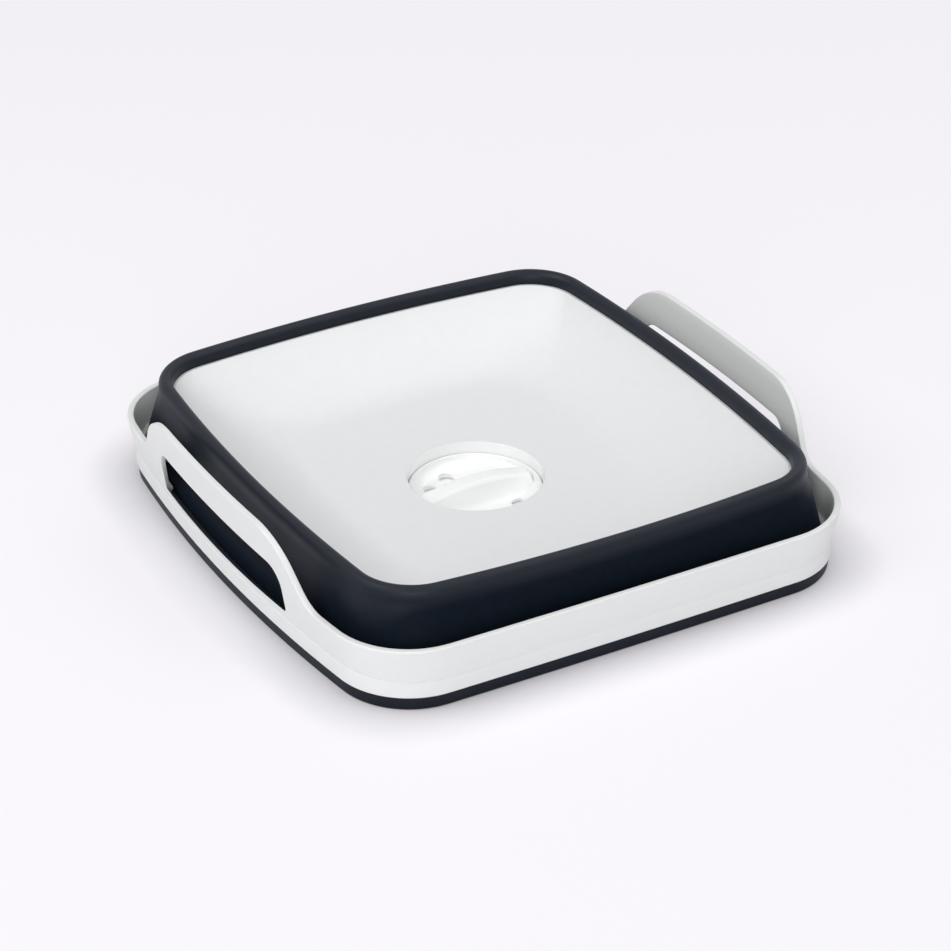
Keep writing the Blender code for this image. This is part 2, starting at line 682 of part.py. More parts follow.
def grip_guide():
    """Arched grip bar with hollow flanks, square at its ends."""
    form = bmesh.new()
    rows = []
    stations = 10
    for index in range(stations + 1):
        along = GRIP_HALF_LENGTH * (2 * index / stations - 1)
        half = grip_section(along)
        base = [(half[0][0], PLUG_DISH_Z - SINK_IN)]
        ring = base + half + [(-y, z) for y, z in reversed(base + half)]
        rows.append([form.verts.new((along, y, z)) for y, z in ring])
    for row, following in zip(rows, rows[1:]):
        for i in range(len(row)):
            j = (i + 1) % len(row)
            form.faces.new((row[i], row[j], following[j], following[i]))
    form.faces.new(rows[0][::-1])
    form.faces.new(rows[-1])
    return guide("grip_guide", form)


def make_plug(material):
    """Twist plug: dished disc with a grip bar, four holes, seal groove and spindle."""
    screw_hole_r = SCREW_R + SEAT_GAP
    screw_hole_z = SPINDLE_FOOT_Z + SCREW_LENGTH - SEAT_GAP - WASHER_THICK
    lip_in = PLUG_R - PLUG_LIP
    bowl_shares = ((0.0, 0.0), (0.5, 0.14), (0.85, 0.52))
    profile = [(0, PLUG_DISH_Z)]
    profile += [(PLUG_DISH_R + PLUG_BOWL_RUN * out, PLUG_DISH_Z + PLUG_DISH_DEPTH * up)
                for out, up in bowl_shares]
    profile += [
        (lip_in, PLUG_TOP_Z - EDGE_BREAK),
        (lip_in + EDGE_BREAK, PLUG_TOP_Z),
        (PLUG_R - EDGE_BREAK, PLUG_TOP_Z),
        (PLUG_R, PLUG_TOP_Z - EDGE_BREAK),
        (PLUG_R, SEAL_GROOVE_TOP_Z),
        (PLUG_R - SEAL_GROOVE_DEPTH, SEAL_GROOVE_TOP_Z),
        (PLUG_R - SEAL_GROOVE_DEPTH, SEAL_GROOVE_Z),
        (PLUG_R - SEAT_GAP, SEAL_GROOVE_Z),
        (PLUG_R - 2 * SEAT_GAP, PLUG_BASE_Z + EDGE_BREAK),
        (PLUG_R - 2 * SEAT_GAP - EDGE_BREAK, PLUG_BASE_Z),
        (SPINDLE_R, PLUG_BASE_Z),
        (SPINDLE_R, SPINDLE_FOOT_Z),
        (screw_hole_r, SPINDLE_FOOT_Z),
        (screw_hole_r, screw_hole_z),
        (0, screw_hole_z),
    ]
    plug = turned("drain_plug", profile, material)
    combine(plug, grip_guide(), "UNION")
    angles = [start + half for start in HOLE_ANGLES_DEG for half in (0, 180)]
    cutter = holes("plug_hole_cutter", angles, PLUG_BASE_Z - CUT_OVERRUN, PLUG_TOP_Z)
    combine(plug, cutter, "DIFFERENCE")


def make_seal(material):
    """O-ring in the plug's groove."""
    middle_r = CUP_SEAT_R - SEAT_GAP - SEAL_TUBE_R
    middle_z = (SEAL_GROOVE_Z + SEAL_GROOVE_TOP_Z) / 2
    tube_steps = 6
    turns = [2 * math.pi * (step + 1 / 2) / tube_steps for step in range(tube_steps)]
    profile = [(middle_r + SEAL_TUBE_R * math.cos(turn), middle_z + SEAL_TUBE_R * math.sin(turn))
               for turn in turns]
    turned("plug_seal", profile, material)


def make_fastening(material):
    """Washer and screw that hold the plug's spindle in the cup's hub."""
    washer_top = SPINDLE_FOOT_Z - SEAT_GAP
    washer_foot = washer_top - WASHER_THICK
    head_top = washer_foot - SEAT_GAP
    turned("plug_washer", ring_profile(SCREW_R + SEAT_GAP, WASHER_R, washer_foot, washer_top),
           material, SMALL_STEPS)
    head_foot = head_top - SCREW_HEAD_THICK
    profile = [
        (0, head_top + SCREW_LENGTH - SEAT_GAP),
        (SCREW_R, head_top + SCREW_LENGTH - SEAT_GAP - SCREW_R),
        (SCREW_R, head_top),
        (SCREW_HEAD_R, head_top),
        (SCREW_HEAD_R, head_foot + EDGE_BREAK),
        (SCREW_HEAD_R - EDGE_BREAK, head_foot),
        (0, head_foot),
    ]
    turned("plug_screw", profile, material, SMALL_STEPS)


def main():
    for thing in list(bpy.data.objects):
        bpy.data.objects.remove(thing, do_unlink=True)
    rim_white = plastic("rim_white_pp", (0.80, 0.80, 0.81), 0.38)
    floor_white = plastic("floor_white_pp", (0.78, 0.78, 0.79), 0.42)
    drain_white = plastic("drain_white_abs", (0.86, 0.86, 0.86), 0.22)
    soft_dark = plastic("dark_tpe", (0.020, 0.026, 0.038), 0.5)
    seal_grey = plastic("seal_silicone", (0.35, 0.35, 0.35), 0.55)
    steel = plastic("stainless_steel", (0.6, 0.6, 0.6), 0.3, 1.0)
    make_rim(rim_white)
    make_skirt(soft_dark)
    make_wall(soft_dark)
    make_ridge(soft_dark)
    make_floor(floor_white)
    make_drain_cup(drain_white)
    make_gasket(seal_grey)
    make_retaining_ring(drain_white)
    make_plug(drain_white)
    make_seal(seal_grey)
    make_fastening(steel)


main()
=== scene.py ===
"""Looks of the collapsible washbasin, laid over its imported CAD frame.

Run as a script. Every length is in metres, in the CAD's own frame.
"""

from collections import namedtuple
from math import atan2, cos, hypot, pi, radians, sin, sqrt, tan

import bmesh
import bpy
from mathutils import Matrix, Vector
from mathutils.bvhtree import BVHTree


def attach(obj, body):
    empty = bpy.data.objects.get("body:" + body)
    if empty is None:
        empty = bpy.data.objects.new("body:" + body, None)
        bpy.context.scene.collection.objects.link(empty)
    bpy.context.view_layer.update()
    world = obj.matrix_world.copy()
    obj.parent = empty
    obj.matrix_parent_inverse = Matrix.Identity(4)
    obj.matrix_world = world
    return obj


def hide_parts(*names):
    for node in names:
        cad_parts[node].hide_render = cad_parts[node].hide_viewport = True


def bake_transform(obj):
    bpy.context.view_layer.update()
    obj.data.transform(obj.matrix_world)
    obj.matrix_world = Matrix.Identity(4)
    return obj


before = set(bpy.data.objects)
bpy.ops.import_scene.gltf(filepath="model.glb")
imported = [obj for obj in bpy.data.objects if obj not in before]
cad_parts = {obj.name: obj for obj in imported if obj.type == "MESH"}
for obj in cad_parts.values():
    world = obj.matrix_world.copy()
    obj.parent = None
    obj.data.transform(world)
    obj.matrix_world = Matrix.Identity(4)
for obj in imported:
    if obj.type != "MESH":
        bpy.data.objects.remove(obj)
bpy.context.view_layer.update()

bl_info = {
    "name": "Folding Washbasin",
    "version": (1, 0, 0),
    "blender": (4, 5, 0),
    "location": "View3D > Sidebar > Washbasin",
    "description": "Builds a folding washbasin's visible pieces over its CAD frame",
    "category": "Add Mesh",
}

MM = 0.001
SEAT_GAP = 0.0003
CUT_OVERRUN = 0.003
CUT_SKIM = MM / 50  # keeps a cut's round edge from ending on the face that it opens
RAY_SKIM = MM / 10
LEVEL_SLACK = MM / 100
SMOOTH_DEG = 35.0

# Radii of the moulded and turned edges
SHARP_R = 0.0001
CRISP_R = 0.0002
FINE_R = 0.0003
EASED_R = 0.0004
MILD_R = 0.0005
SOFT_R = 0.0006
ROUND_R = 0.0008
DOMED_R = 0.0009
FULL_R = 0.0012
CORNER_REACH = 0.49  # most of a side that the round at its end may take

Outline = namedtuple("Outline", "half_x half_y corner bow_x bow_y")

# Rim, measured round its top outer edge
RIM = Outline(0.165, 0.170, 0.0485, 0.0135, 0.0015)
RIM_BOTTOM_Z = 0.008
CREASE_Z = 0.018
RIM_TOP_Z = 0.0392
BAND_INSET = 0.0037
CHANNEL_INSET = 0.006
LIP_WALL = 0.0036
LIP_ZONE = 0.0014
CREASE_GROOVE = 0.0003
CREASE_PROUD = 0.1  # share of the groove that its upper edge stands out by
LEDGE_Z = 0.0205
LEDGE_THICK = 0.0025
LEDGE_REACH = 0.0087
FLARE_FOOT_INSET = 0.0061

# Handles
HANDLE_RISE = 0.0338
HANDLE_FLARE = 0.0045
HANDLE_CORNER_GAP = 0.0157
HANDLE_SHOULDER_R = 0.040
HANDLE_FOOT_R = 0.020
HANDLE_SLOPE = radians(53.0)
SLOT_BOTTOM_Z = 0.0222
SLOT_BOTTOM_SAG = 0.0018
SLOT_TOP_Z = 0.0505
SLOT_END_GAP = 0.0357
SLOT_CORNER_R = 0.012
SLOT_FOOT_R = 0.0022
SLOT_SAG_SHARE = 0.94
SLOT_SILL_FALL = 1.5
SLOT_END_SPREAD = 1.0

# Soft skirt and hem
SKIRT_FOOT_INSET = 0.005
SKIRT_TOP_INSET = 0.0044
SKIRT_INNER_INSET = 0.0088
HEM_INSET = 0.012
HEM_Z = 0.0117
HEM_THICK = 0.0025
HEM_DRAFT = 0.0013

# Soft wall and ridge, measured outwards from the floor's edge
RIDGE_WIDTH = 0.0078
RIDGE_RISE = 0.0081
RIDGE_FOOT_Z = 0.051
RIDGE_GRIP_WIDTH = 0.0057
RIDGE_LIP_REACH = 0.0018
WALL_THICK = 0.0018
WALL_TOP_Z = 0.0553
WALL_KNEE_Z = 0.024
WALL_FOOT_INSET = 0.0098
KNEE_SOFTNESS = 0.005
BROW_SOFTNESS = 0.0012
WALL_SMOOTH_DEG = 50.0
# Painted sheen of the soft wall: where it starts above the knee, and how it shifts between the
# handle sides and the sides between them
SHEEN_RISE = 0.010
SHEEN_SIDE_SHARE = 0.3
SHEEN_SIDE_RATE = 4
# The ridge's crest as shares of its width and rise, from the floor's edge outwards
RIDGE_CREST = ((0.0, SEAT_GAP / RIDGE_RISE), (0.0, 0.38), (0.09, 0.74), (0.35, 0.98),
               (0.69, 0.96), (0.92, 0.72), (1.0, 0.42), (1.0, 0.06))

# Floor
FLOOR = Outline(0.1385, 0.148, 0.030, 0.0095, 0.009)
FLAT = Outline(0.084, 0.093, 0.040, 0.005, 0.005)
FLOOR_EDGE_Z = 0.0564
FLOOR_THICK = 0.0025
FLANGE_REACH = 0.004
EDGE_SHELF = 0.0012
FLAT_Z = 0.0255
DRAIN_Z = 0.0245
DRAIN_FALL_POWER = 1.5
DISH_RUN = 0.0545
DISH_POWER = 1.8
FOOT_Z = 0.001
FOOT_WALL = 0.0022
FOOT_NOTCH_Z = 0.013
FOOT_LENGTH_X = 0.038
FOOT_LENGTH_Y = 0.039
RIB_THICK = 0.002
RIB_FOOT_Z = 0.0135

# Drain
CUP_R = 0.0407
CUP_MOUTH_R = 0.0396
CUP_MOUTH_WALL = 0.0004
CUP_SEAT_R = 0.0389
CUP_FOOT_R = 0.0385
CUP_FLOOR_Z = 0.008
CUP_FOOT_Z = 0.006
CUP_FLANGE_R = 0.0484
CUP_FLANGE_Z = 0.0201
CUP_FLANGE_THICK = 0.0018
COLLAR_WALL = 0.0024
COLLAR_FOOT_Z = 0.011
RING_IN_R = 0.041
RING_HEIGHT = 0.0042
RING_NOTCH_DEPTH = 0.0018
RING_NOTCH_WIDTH = 0.006
RING_NOTCHES = 6
PLUG_R = 0.0385
PLUG_TOP_Z = 0.0176
PLUG_DISH_Z = 0.0104
PLUG_BASE_Z = 0.0084
PLUG_LIP = 0.0016
PLUG_DISH_R = 0.0245
PLUG_BOWL = ((0.0, 0.0), (0.5, 0.14), (0.85, 0.52), (0.985, 0.9))  # shares of its run and rise
SEAL_GROOVE_Z = 0.0129
SEAL_GROOVE_TOP_Z = 0.0156
SEAL_GROOVE_DEPTH = 0.0015
SEAL_TUBE_R = 0.00065
SEAL_SMOOTH_DEG = 60.0
GRIP_HALF_LENGTH = 0.0343
GRIP_WIDTH = 0.009
GRIP_FOOT_WIDTH = 0.0255
GRIP_END_Z = 0.0185
GRIP_ARCH = 0.0046
GRIP_EDGE_R = 0.001
GRIP_SINK = 0.0008
GRIP_FLANK = ((1.0, 0.0), (0.80, 0.10), (0.56, 0.32), (0.32, 0.60), (0.12, 0.86))
HOLE_R = 0.0047
HOLE_CIRCLE_R = 0.0262
HOLE_ANGLES_DEG = (100.0, 135.0)
TWIST_DEG = 60.0
SPINDLE_R = 0.0038
SPINDLE_FOOT_Z = 0.0052
HUB_R = 0.008
WASHER_R = 0.0072
WASHER_THICK = 0.001
SCREW_R = 0.0012
SCREW_HEAD_R = 0.0034
SCREW_HEAD_THICK = 0.0012
SCREW_LENGTH = 0.0052
RECESS_ARM = 0.0018
RECESS_HALF_WIDTH = 0.00035
RECESS_DEPTHS = (0.0007, 0.00071)  # of its two arms, unlike so that their floors never coincide

# Facets
SIDE_STEPS = 24
CORNER_STEPS = 28
HANDLE_STEPS = 72
WALL_ROWS = 30
DISH_ROWS = 48
DRAIN_ROWS = 16
RIM_ROW_HEIGHT = 0.0012
SLOT_STEPS = 16
SLOT_TOP_STEPS = 12
ROUND_STEPS = 5
CURVE_STEPS = 6
HOLE_STEPS = 40
SEAL_STEPS = 16
GRIP_STATIONS = 72
WASHER_TURN_STEPS = 96
SCREW_TURN_STEPS = 64
TURN_STEPS = 160
PLUG_TURN_STEPS = 157  # no edge of the plug runs through the middle of a hole

# Camera
VIEW_AZIMUTH = radians(-29.66)
VIEW_ELEVATION = radians(30.11)
VIEW_DISTANCE = 1.9056
VIEW_TARGET = (0.02074, 0.03649, 0.0)
VIEW_LENS_MM = 122.8
VIEW_CLIP_END = 100.0

# Stage. Lamps: degrees round from the camera's side, degrees up, distance and size
LAMPS = {
    "top": (0, 90, 3.0, 2.4),
    "left": (-70, 50, 3.2, 2.0),
    "right": (70, 50, 3.2, 2.0),
    "back": (130, 50, 3.2, 2.0),
    "front": (0, 18, 3.6, 1.6),
}
STUDIO_FLOOR_Z = -0.0001
CONTACT_REACH = 0.035

# Material patterns
FLOW_MM = 45
MOTTLE_MM = 6
RING_SCALE = 125.0  # of the wave texture, whose rings then lie 2.5 mm apart


def linear(hex_colour):
    """A linear colour from an sRGB hex one, by the sRGB curve."""
    channels = [int(hex_colour[i:i + 2], 16) / 255 for i in (1, 3, 5)]
    return (*(c / 12.92 if c <= 0.04045 else ((c + 0.055) / 1.055) ** 2.4 for c in channels), 1.0)


# ---- outlines

def grown(outline, by):
    """The outline moved outwards by a distance, or inwards by a negative one."""
    return outline._replace(half_x=outline.half_x + by, half_y=outline.half_y + by,
                            corner=outline.corner + by)


def between(start, end, share):
    """An outline part of the way from one to another."""
    return Outline(*(a + (b - a) * share for a, b in zip(start, end)))


def even_shares(steps):
    """Shares from 0 up to, but not including, 1."""
    return [step / steps for step in range(steps)]


def full_turn(steps):
    return [2 * pi * share for share in even_shares(steps)]


def on_circle(radius, angle, x=0.0, y=0.0):
    """A point on a circle round (x, y)."""
    return x + radius * cos(angle), y + radius * sin(angle)


def quarter(outline, side_shares):
    """One quarter of an outline: bowed X side, round corner, bowed Y side."""
    half_x, half_y, corner, bow_x, bow_y = outline
    side_x_r = half_y ** 2 / (2 * bow_x)
    side_y_r = half_x ** 2 / (2 * bow_y)
    centre_x = half_x - side_x_r
    centre_y = half_y - side_y_r
    reach_x = side_x_r - corner
    reach_y = side_y_r - corner
    apart = hypot(centre_x, centre_y)
    along = (reach_x ** 2 - reach_y ** 2 + apart ** 2) / (2 * apart)
    across = sqrt(reach_x ** 2 - along ** 2)
    to_x, to_y = -centre_x / apart, centre_y / apart
    corner_x = centre_x + along * to_x - across * to_y
    corner_y = along * to_y + across * to_x
    start = atan2(corner_y, corner_x - centre_x)
    end = atan2(corner_y - centre_y, corner_x)
    points = [on_circle(side_x_r, start * share, centre_x) for share in side_shares]
    points += [on_circle(corner, start + (end - start) * share, corner_x, corner_y)
               for share in even_shares(CORNER_STEPS)]
    return points + [on_circle(side_y_r, end + (pi / 2 - end) * share, 0.0, centre_y)
                     for share in even_shares(SIDE_STEPS) + [1.0]]


def loop(outline, side_shares=None):
    """The whole outline, anticlockwise from +X."""
    first = quarter(outline, side_shares or even_shares(SIDE_STEPS))
    second = [(-x, y) for x, y in reversed(first[:-1])]
    half = first + second
    return half + [(-x, -y) for x, y in half[1:-1]]


def round_loop(radius, like):
    """A circle whose points lie in the directions of another loop's points."""
    return [on_circle(radius, atan2(y, x)) for x, y in like]


def at_height(points, height):
    return [(x, y, height) for x, y in points]


def rounds(outline, steps):
    """Loops round an outline, one for each (out, height)."""
    return [at_height(loop(grown(outline, out)), height) for out, height in steps]


def softened(corners):
    """A closed section with each (across, height, radius) corner rounded."""
    points = []
    for i, (x, z, radius) in enumerate(corners):
        here = Vector((x, z))
        back = Vector(corners[i - 1][:2]) - here
        ahead = Vector(corners[(i + 1) % len(corners)][:2]) - here
        if radius == 0:
            points.append((x, z))
            continue
        bend = back.angle(ahead)
        reach = min(radius / tan(bend / 2), CORNER_REACH * min(back.length, ahead.length))
        tip = here + (back.normalized() + ahead.normalized()).normalized() * (reach / cos(bend / 2))
        start = here + back.normalized() * reach - tip
        end = here + ahead.normalized() * reach - tip
        for step in range(ROUND_STEPS + 1):
            share = step / ROUND_STEPS
            spoke = start.slerp(end, share, start).normalized() * start.length
            points.append(tuple(tip + spoke))
    return points


def curve_through(points):
    """Points along a smooth curve (Catmull-Rom) through the given ones."""
    ends = [points[0], *points, points[-1]]
    smooth = []
    for a, b, c, d in zip(ends, ends[1:], ends[2:], ends[3:]):
        for t in even_shares(CURVE_STEPS):
            smooth.append(tuple(
                0.5 * (2 * q + (r - p) * t + (2 * p - 5 * q + 4 * r - s) * t ** 2
                       + (3 * q - p - 3 * r + s) * t ** 3)
                for p, q, r, s in zip(a, b, c, d)))
    return smooth + [tuple(points[-1])]


def quarter_round(radius):
    """(out, back) along a quarter round, from its side to its top."""
    angles = [pi / 2 * step / ROUND_STEPS for step in range(ROUND_STEPS + 1)]
    return [(radius * (1 - cos(angle)), radius * (1 - sin(angle))) for angle in angles]


# ---- meshes

def add_piece(name, form):
    """A piece from a bmesh, with its faces turned outwards."""
    bmesh.ops.recalc_face_normals(form, faces=form.faces)
    mesh = bpy.data.meshes.new(name)
    form.to_mesh(mesh)
    form.free()
    thing = bpy.data.objects.new(name, mesh)
    bpy.context.collection.objects.link(thing)
    return thing


def dress(thing, material, smooth_deg=SMOOTH_DEG):
    """Gives a finished piece its material and smooth shading."""
    thing.data.materials.clear()
    thing.data.materials.append(material)
    thing.data.shade_smooth()
    thing.data.set_sharp_from_angle(angle=radians(smooth_deg))


def bridge(form, rows):
    """Joins each row of vertices to the next one with a ring of faces."""
    for row, following in zip(rows, rows[1:]):
        for i in range(len(row)):
            j = (i + 1) % len(row)
            form.faces.new((row[i], row[j], following[j], following[i]))


def lofted(name, sections):
    """A ring swept through closed sections, the last joined to the first."""
    form = bmesh.new()
    rows = [[form.verts.new(point) for point in section] for section in sections]
    bridge(form, rows + rows[:1])
    return add_piece(name, form)


def turned(name, profile, steps=TURN_STEPS):
    """A profile of (radius, height) points turned about Z. A point on the axis is a pole."""
    form = bmesh.new()
    turns = full_turn(steps)
    rows = [[form.verts.new((*on_circle(radius, turn), height))
             for turn in (turns if radius else turns[:1])] for radius, height in profile]
    for row, following in zip(rows, rows[1:] + rows[:1]):
        if len(row) == len(following) == steps:
            bridge(form, (row, following))
        elif len(row) != len(following):
            for i in range(steps):
                j = (i + 1) % steps
                form.faces.new((row[0], following[j], following[i]) if len(row) == 1
                               else (row[i], row[j], following[0]))
    return add_piece(name, form)


def flat_ring(name, inner, outer, low, high, edge_r, foot_r, steps=TURN_STEPS):
    """A flat ring about Z, with a radius of its own on its lower outer edge."""
    return turned(name, softened([(outer, high, edge_r), (inner, high, edge_r),
                                  (inner, low, edge_r), (outer, low, foot_r)]), steps)


def closed(name, solids):
    """A piece made of solids, each through open rows of points and capped at both ends."""
    form = bmesh.new()
    for rings in solids:
        rows = [[form.verts.new(point) for point in ring] for ring in rings]
        bridge(form, rows)
        form.faces.new(rows[0][::-1])
        form.faces.new(rows[-1])
    return add_piece(name, form)


def boxes(name, spans):
    """A piece made of boxes, each from one corner to another and then turned about Z."""
    solids = []
    for (x0, y0, z0), (x1, y1, z1), turn in spans:
        flat = ((x0, y0), (x1, y0), (x1, y1), (x0, y1))
        solids.append([[(x * cos(turn) - y * sin(turn), x * sin(turn) + y * cos(turn), z)
                        for x, y in flat] for z in (z0, z1)])
    return closed(name, solids)


def shape_with(thing, *steps):
    """Cuts or joins (solid, operation) in turn and keeps the result as the piece's mesh."""
    for other, operation in steps:
        modifier = thing.modifiers.new(other.name, "BOOLEAN")
        modifier.operation = operation
        modifier.solver = "EXACT"
        modifier.object = other
    scene_state = bpy.context.evaluated_depsgraph_get()
    result = bpy.data.meshes.new_from_object(thing.evaluated_get(scene_state))
    thing.modifiers.clear()
    old = thing.data
    thing.data = result
    bpy.data.meshes.remove(old)
    for other, _ in steps:
        bpy.data.objects.remove(other, do_unlink=True)
    return thing


def round_holes(name, turn_deg, low_z, high_z, edge_z=None, edge_r=0.0):
    """Upright cylinders on the drain's circle of holes, opened out up to edge_z."""
    levels = [(HOLE_R, low_z)]
    if edge_z is not None:
        levels += [(HOLE_R + out, edge_z - back) for out, back in quarter_round(edge_r)]
    levels.append((HOLE_R + edge_r, high_z))
    centres = [on_circle(HOLE_CIRCLE_R, radians(start + turn_deg + half_turn))
               for start in HOLE_ANGLES_DEG for half_turn in (0, 180)]
    return closed(name, [[[(*on_circle(r, turn, *centre), z) for turn in full_turn(HOLE_STEPS)]
                          for r, z in levels] for centre in centres])


# ---- rim

def handle_places():
    """Where a handle's edge changes along its side: flat, shoulder, slope, foot curve, rim."""
    end = quarter(RIM, [0.0, 1.0])[1][1] - HANDLE_CORNER_GAP
    bend = end - HANDLE_FOOT_R * sin(HANDLE_SLOPE)
    rounded = (HANDLE_SHOULDER_R + HANDLE_FOOT_R) * (1 - cos(HANDLE_SLOPE))
    shoulder_end = bend - (HANDLE_RISE - rounded) / tan(HANDLE_SLOPE)
    return shoulder_end - HANDLE_SHOULDER_R * sin(HANDLE_SLOPE), shoulder_end, bend, end


def rim_edge_rise(along):
    """How far the rim's top edge rises above the rim at a place along a handle side."""
    flat_half, shoulder_end, bend, end = handle_places()
    along = abs(along)
    if along <= flat_half:
        return HANDLE_RISE
    if along <= shoulder_end:
        return HANDLE_RISE - HANDLE_SHOULDER_R + sqrt(
            HANDLE_SHOULDER_R ** 2 - (along - flat_half) ** 2)
    if along <= bend:
        drop = HANDLE_SHOULDER_R * (1 - cos(HANDLE_SLOPE))
        return HANDLE_RISE - drop - (along - shoulder_end) * tan(HANDLE_SLOPE)
    if along <= end:
        return HANDLE_FOOT_R - sqrt(HANDLE_FOOT_R ** 2 - (end - along) ** 2)
    return 0.0


def rim_section(lip_round):
    """The rim's section as (inset, height), in rows close enough for the handles to curve."""
    corners = softened([
        (BAND_INSET, RIM_BOTTOM_Z, SOFT_R),
        (BAND_INSET, CREASE_Z - CREASE_GROOVE, CRISP_R),
        (BAND_INSET + CREASE_GROOVE, CREASE_Z, CRISP_R),
        (BAND_INSET - CREASE_GROOVE * CREASE_PROUD, CREASE_Z + CREASE_GROOVE, EASED_R),
        (0, RIM_TOP_Z, lip_round),
        (LIP_WALL, RIM_TOP_Z, lip_round),
        (FLARE_FOOT_INSET, LEDGE_Z, ROUND_R),
        (LEDGE_REACH, LEDGE_Z, MILD_R),
        (LEDGE_REACH, LEDGE_Z - LEDGE_THICK, FINE_R),
        (CHANNEL_INSET, LEDGE_Z - LEDGE_THICK, 0),
        (CHANNEL_INSET, RIM_BOTTOM_Z, FINE_R),
    ])
    section = []
    for (x, z), (next_x, next_z) in zip(corners, corners[1:] + corners[:1]):
        rows = max(1, round(abs(next_z - z) / RIM_ROW_HEIGHT))
        section += [(x + (next_x - x) * share, z + (next_z - z) * share)
                    for share in even_shares(rows)]
    return section


def rim_sections(lip_round):
    """Loops round the rim, lifted and leaned out at the handles."""
    shares = even_shares(HANDLE_STEPS)
    outside = loop(RIM, shares)
    inside = loop(grown(RIM, -LEDGE_REACH), shares)
    rises = [rim_edge_rise(y) for _, y in outside]
    sections = []
    past_lip = False
    for inset, height in rim_section(lip_round):
        past_lip = past_lip or (height > RIM_TOP_Z - LEVEL_SLACK and inset > LIP_WALL / 2)
        base = LEDGE_Z if past_lip else CREASE_Z
        share = min(1.0, max(0.0, (height - base) / (RIM_TOP_Z - LIP_ZONE - base)))
        points = []
        for (x0, y0), (x1, y1), rise in zip(outside, inside, rises):
            across = (inset - HANDLE_FLARE * rise / HANDLE_RISE * share) / LEDGE_REACH
            points.append((x0 + (x1 - x0) * across, y0 + (y1 - y0) * across, height + rise * share))
        sections.append(points)
    return sections


def slot_outline():
    """The finger slot seen from the side, anticlockwise as (along, height)."""
    half = handle_places()[3] - SLOT_END_GAP
    foot_z = SLOT_BOTTOM_Z + SLOT_BOTTOM_SAG
    right = [(half * share, SLOT_BOTTOM_Z + SLOT_BOTTOM_SAG * share ** 2)
             for share in (SLOT_SAG_SHARE * step / SLOT_STEPS for step in range(SLOT_STEPS + 1))]
    for radius, middle_z, turn in ((SLOT_FOOT_R, foot_z + SLOT_FOOT_R, -1),
                                   (SLOT_CORNER_R, SLOT_TOP_Z - SLOT_CORNER_R, 0)):
        right += [on_circle(radius, pi / 2 * (turn + step / SLOT_STEPS), half - radius, middle_z)
                  for step in range(SLOT_STEPS + 1)]
    right += [((half - SLOT_CORNER_R) * (1 - step / SLOT_TOP_STEPS), SLOT_TOP_Z)
              for step in range(1, SLOT_TOP_STEPS)]
    return right + [(-y, z) for y, z in reversed(right[1:])]


def slot_cutter(side, rim, edge_round):
    """The finger slot of one handle: round edges on both faces of its wall, and a sill that
    falls away inwards, through the ledge behind it."""
    outline = slot_outline()
    surface = BVHTree.FromPolygons([v.co for v in rim.data.vertices],
                                   [tuple(p.vertices) for p in rim.data.polygons])
    inwards = Vector((-side, 0, 0))
    half = max(along for along, _ in outline)
    walls, spokes = [], []
    for i, (along, height) in enumerate(outline):
        outer = surface.ray_cast(Vector((side * 2 * RIM.half_x, along, height)), inwards)[0]
        inner = surface.ray_cast(outer + inwards * RAY_SKIM, inwards)[0]
        walls.append((outer.x, inner.x))
        before = Vector(outline[i]) - Vector(outline[i - 1])
        after = Vector(outline[(i + 1) % len(outline)]) - Vector(outline[i])
        run = (before.normalized() + after.normalized()).normalized()
        spokes.append((run.y, -run.x))
    levels = [(-LEDGE_REACH, edge_round)]
    levels += [(out - CUT_SKIM, back) for out, back in quarter_round(edge_round)]
    steps = [(0, -side, depth, spread) for depth, spread in levels]
    steps += [(1, side, depth, spread) for depth, spread in reversed(levels)]
    rings = []
    for face, way, depth, spread in steps:
        ring = []
        for (y, z), (spoke_y, spoke_z), wall in zip(outline, spokes, walls):
            x = wall[face] + way * depth
            low_share = (SLOT_TOP_Z - z) / (SLOT_TOP_Z - SLOT_BOTTOM_Z)
            run = low_share * max(0.0, side * (wall[0] - x))
            ring.append((x, y + spoke_y * spread + SLOT_END_SPREAD * run * y / half,
                         z + spoke_z * spread - SLOT_SILL_FALL * run))
        rings.append(ring)
    return closed(f"slot_cutter_{'right' if side > 0 else 'left'}", [rings])


# ---- soft moulding

def skirt_sections():
    """The skirt that the basin stands on, its collar and its hem."""
    top_z = RIM_BOTTOM_Z - SEAT_GAP
    collar_z = LEDGE_Z - LEDGE_THICK - SEAT_GAP
    under_z = HEM_Z - HEM_THICK
    section = softened([
        (SKIRT_FOOT_INSET, 0, FULL_R),
        (SKIRT_TOP_INSET, top_z, SOFT_R),
        (CHANNEL_INSET + SEAT_GAP, top_z, 0),
        (CHANNEL_INSET + SEAT_GAP, collar_z, FINE_R),
        (LEDGE_REACH, collar_z, FINE_R),
        (LEDGE_REACH, HEM_Z, SOFT_R),
        (HEM_INSET, HEM_Z, SOFT_R),
        (HEM_INSET, under_z, SOFT_R),
        (SKIRT_INNER_INSET, under_z - HEM_DRAFT, SOFT_R),
        (SKIRT_INNER_INSET, 0, ROUND_R),
    ])
    return [at_height(loop(grown(RIM, -inset)), height) for inset, height in section]


def wall_lean(height):
    """How far the folding wall has leaned in to the ridge at a height, with soft bends."""
    def ramp(start, softness):
        run = height - start
        if run <= -softness:
            return 0.0
        return run if run >= softness else (run + softness) ** 2 / (4 * softness)
    lean = ramp(WALL_KNEE_Z, KNEE_SOFTNESS) - ramp(WALL_TOP_Z, BROW_SOFTNESS)
    return lean / (WALL_TOP_Z - WALL_KNEE_Z)


def wall_rows(depth, high_z):
    """Loops down one face of the folding wall, from the ridge to the hem."""
    top = grown(FLOOR, RIDGE_WIDTH - depth)
    foot = grown(RIM, -WALL_FOOT_INSET - depth)
    low_z = HEM_Z + SEAT_GAP
    heights = [high_z + (low_z - high_z) * step / WALL_ROWS for step in range(WALL_ROWS + 1)]
    return [at_height(loop(between(foot, top, wall_lean(z))), z) for z in heights]


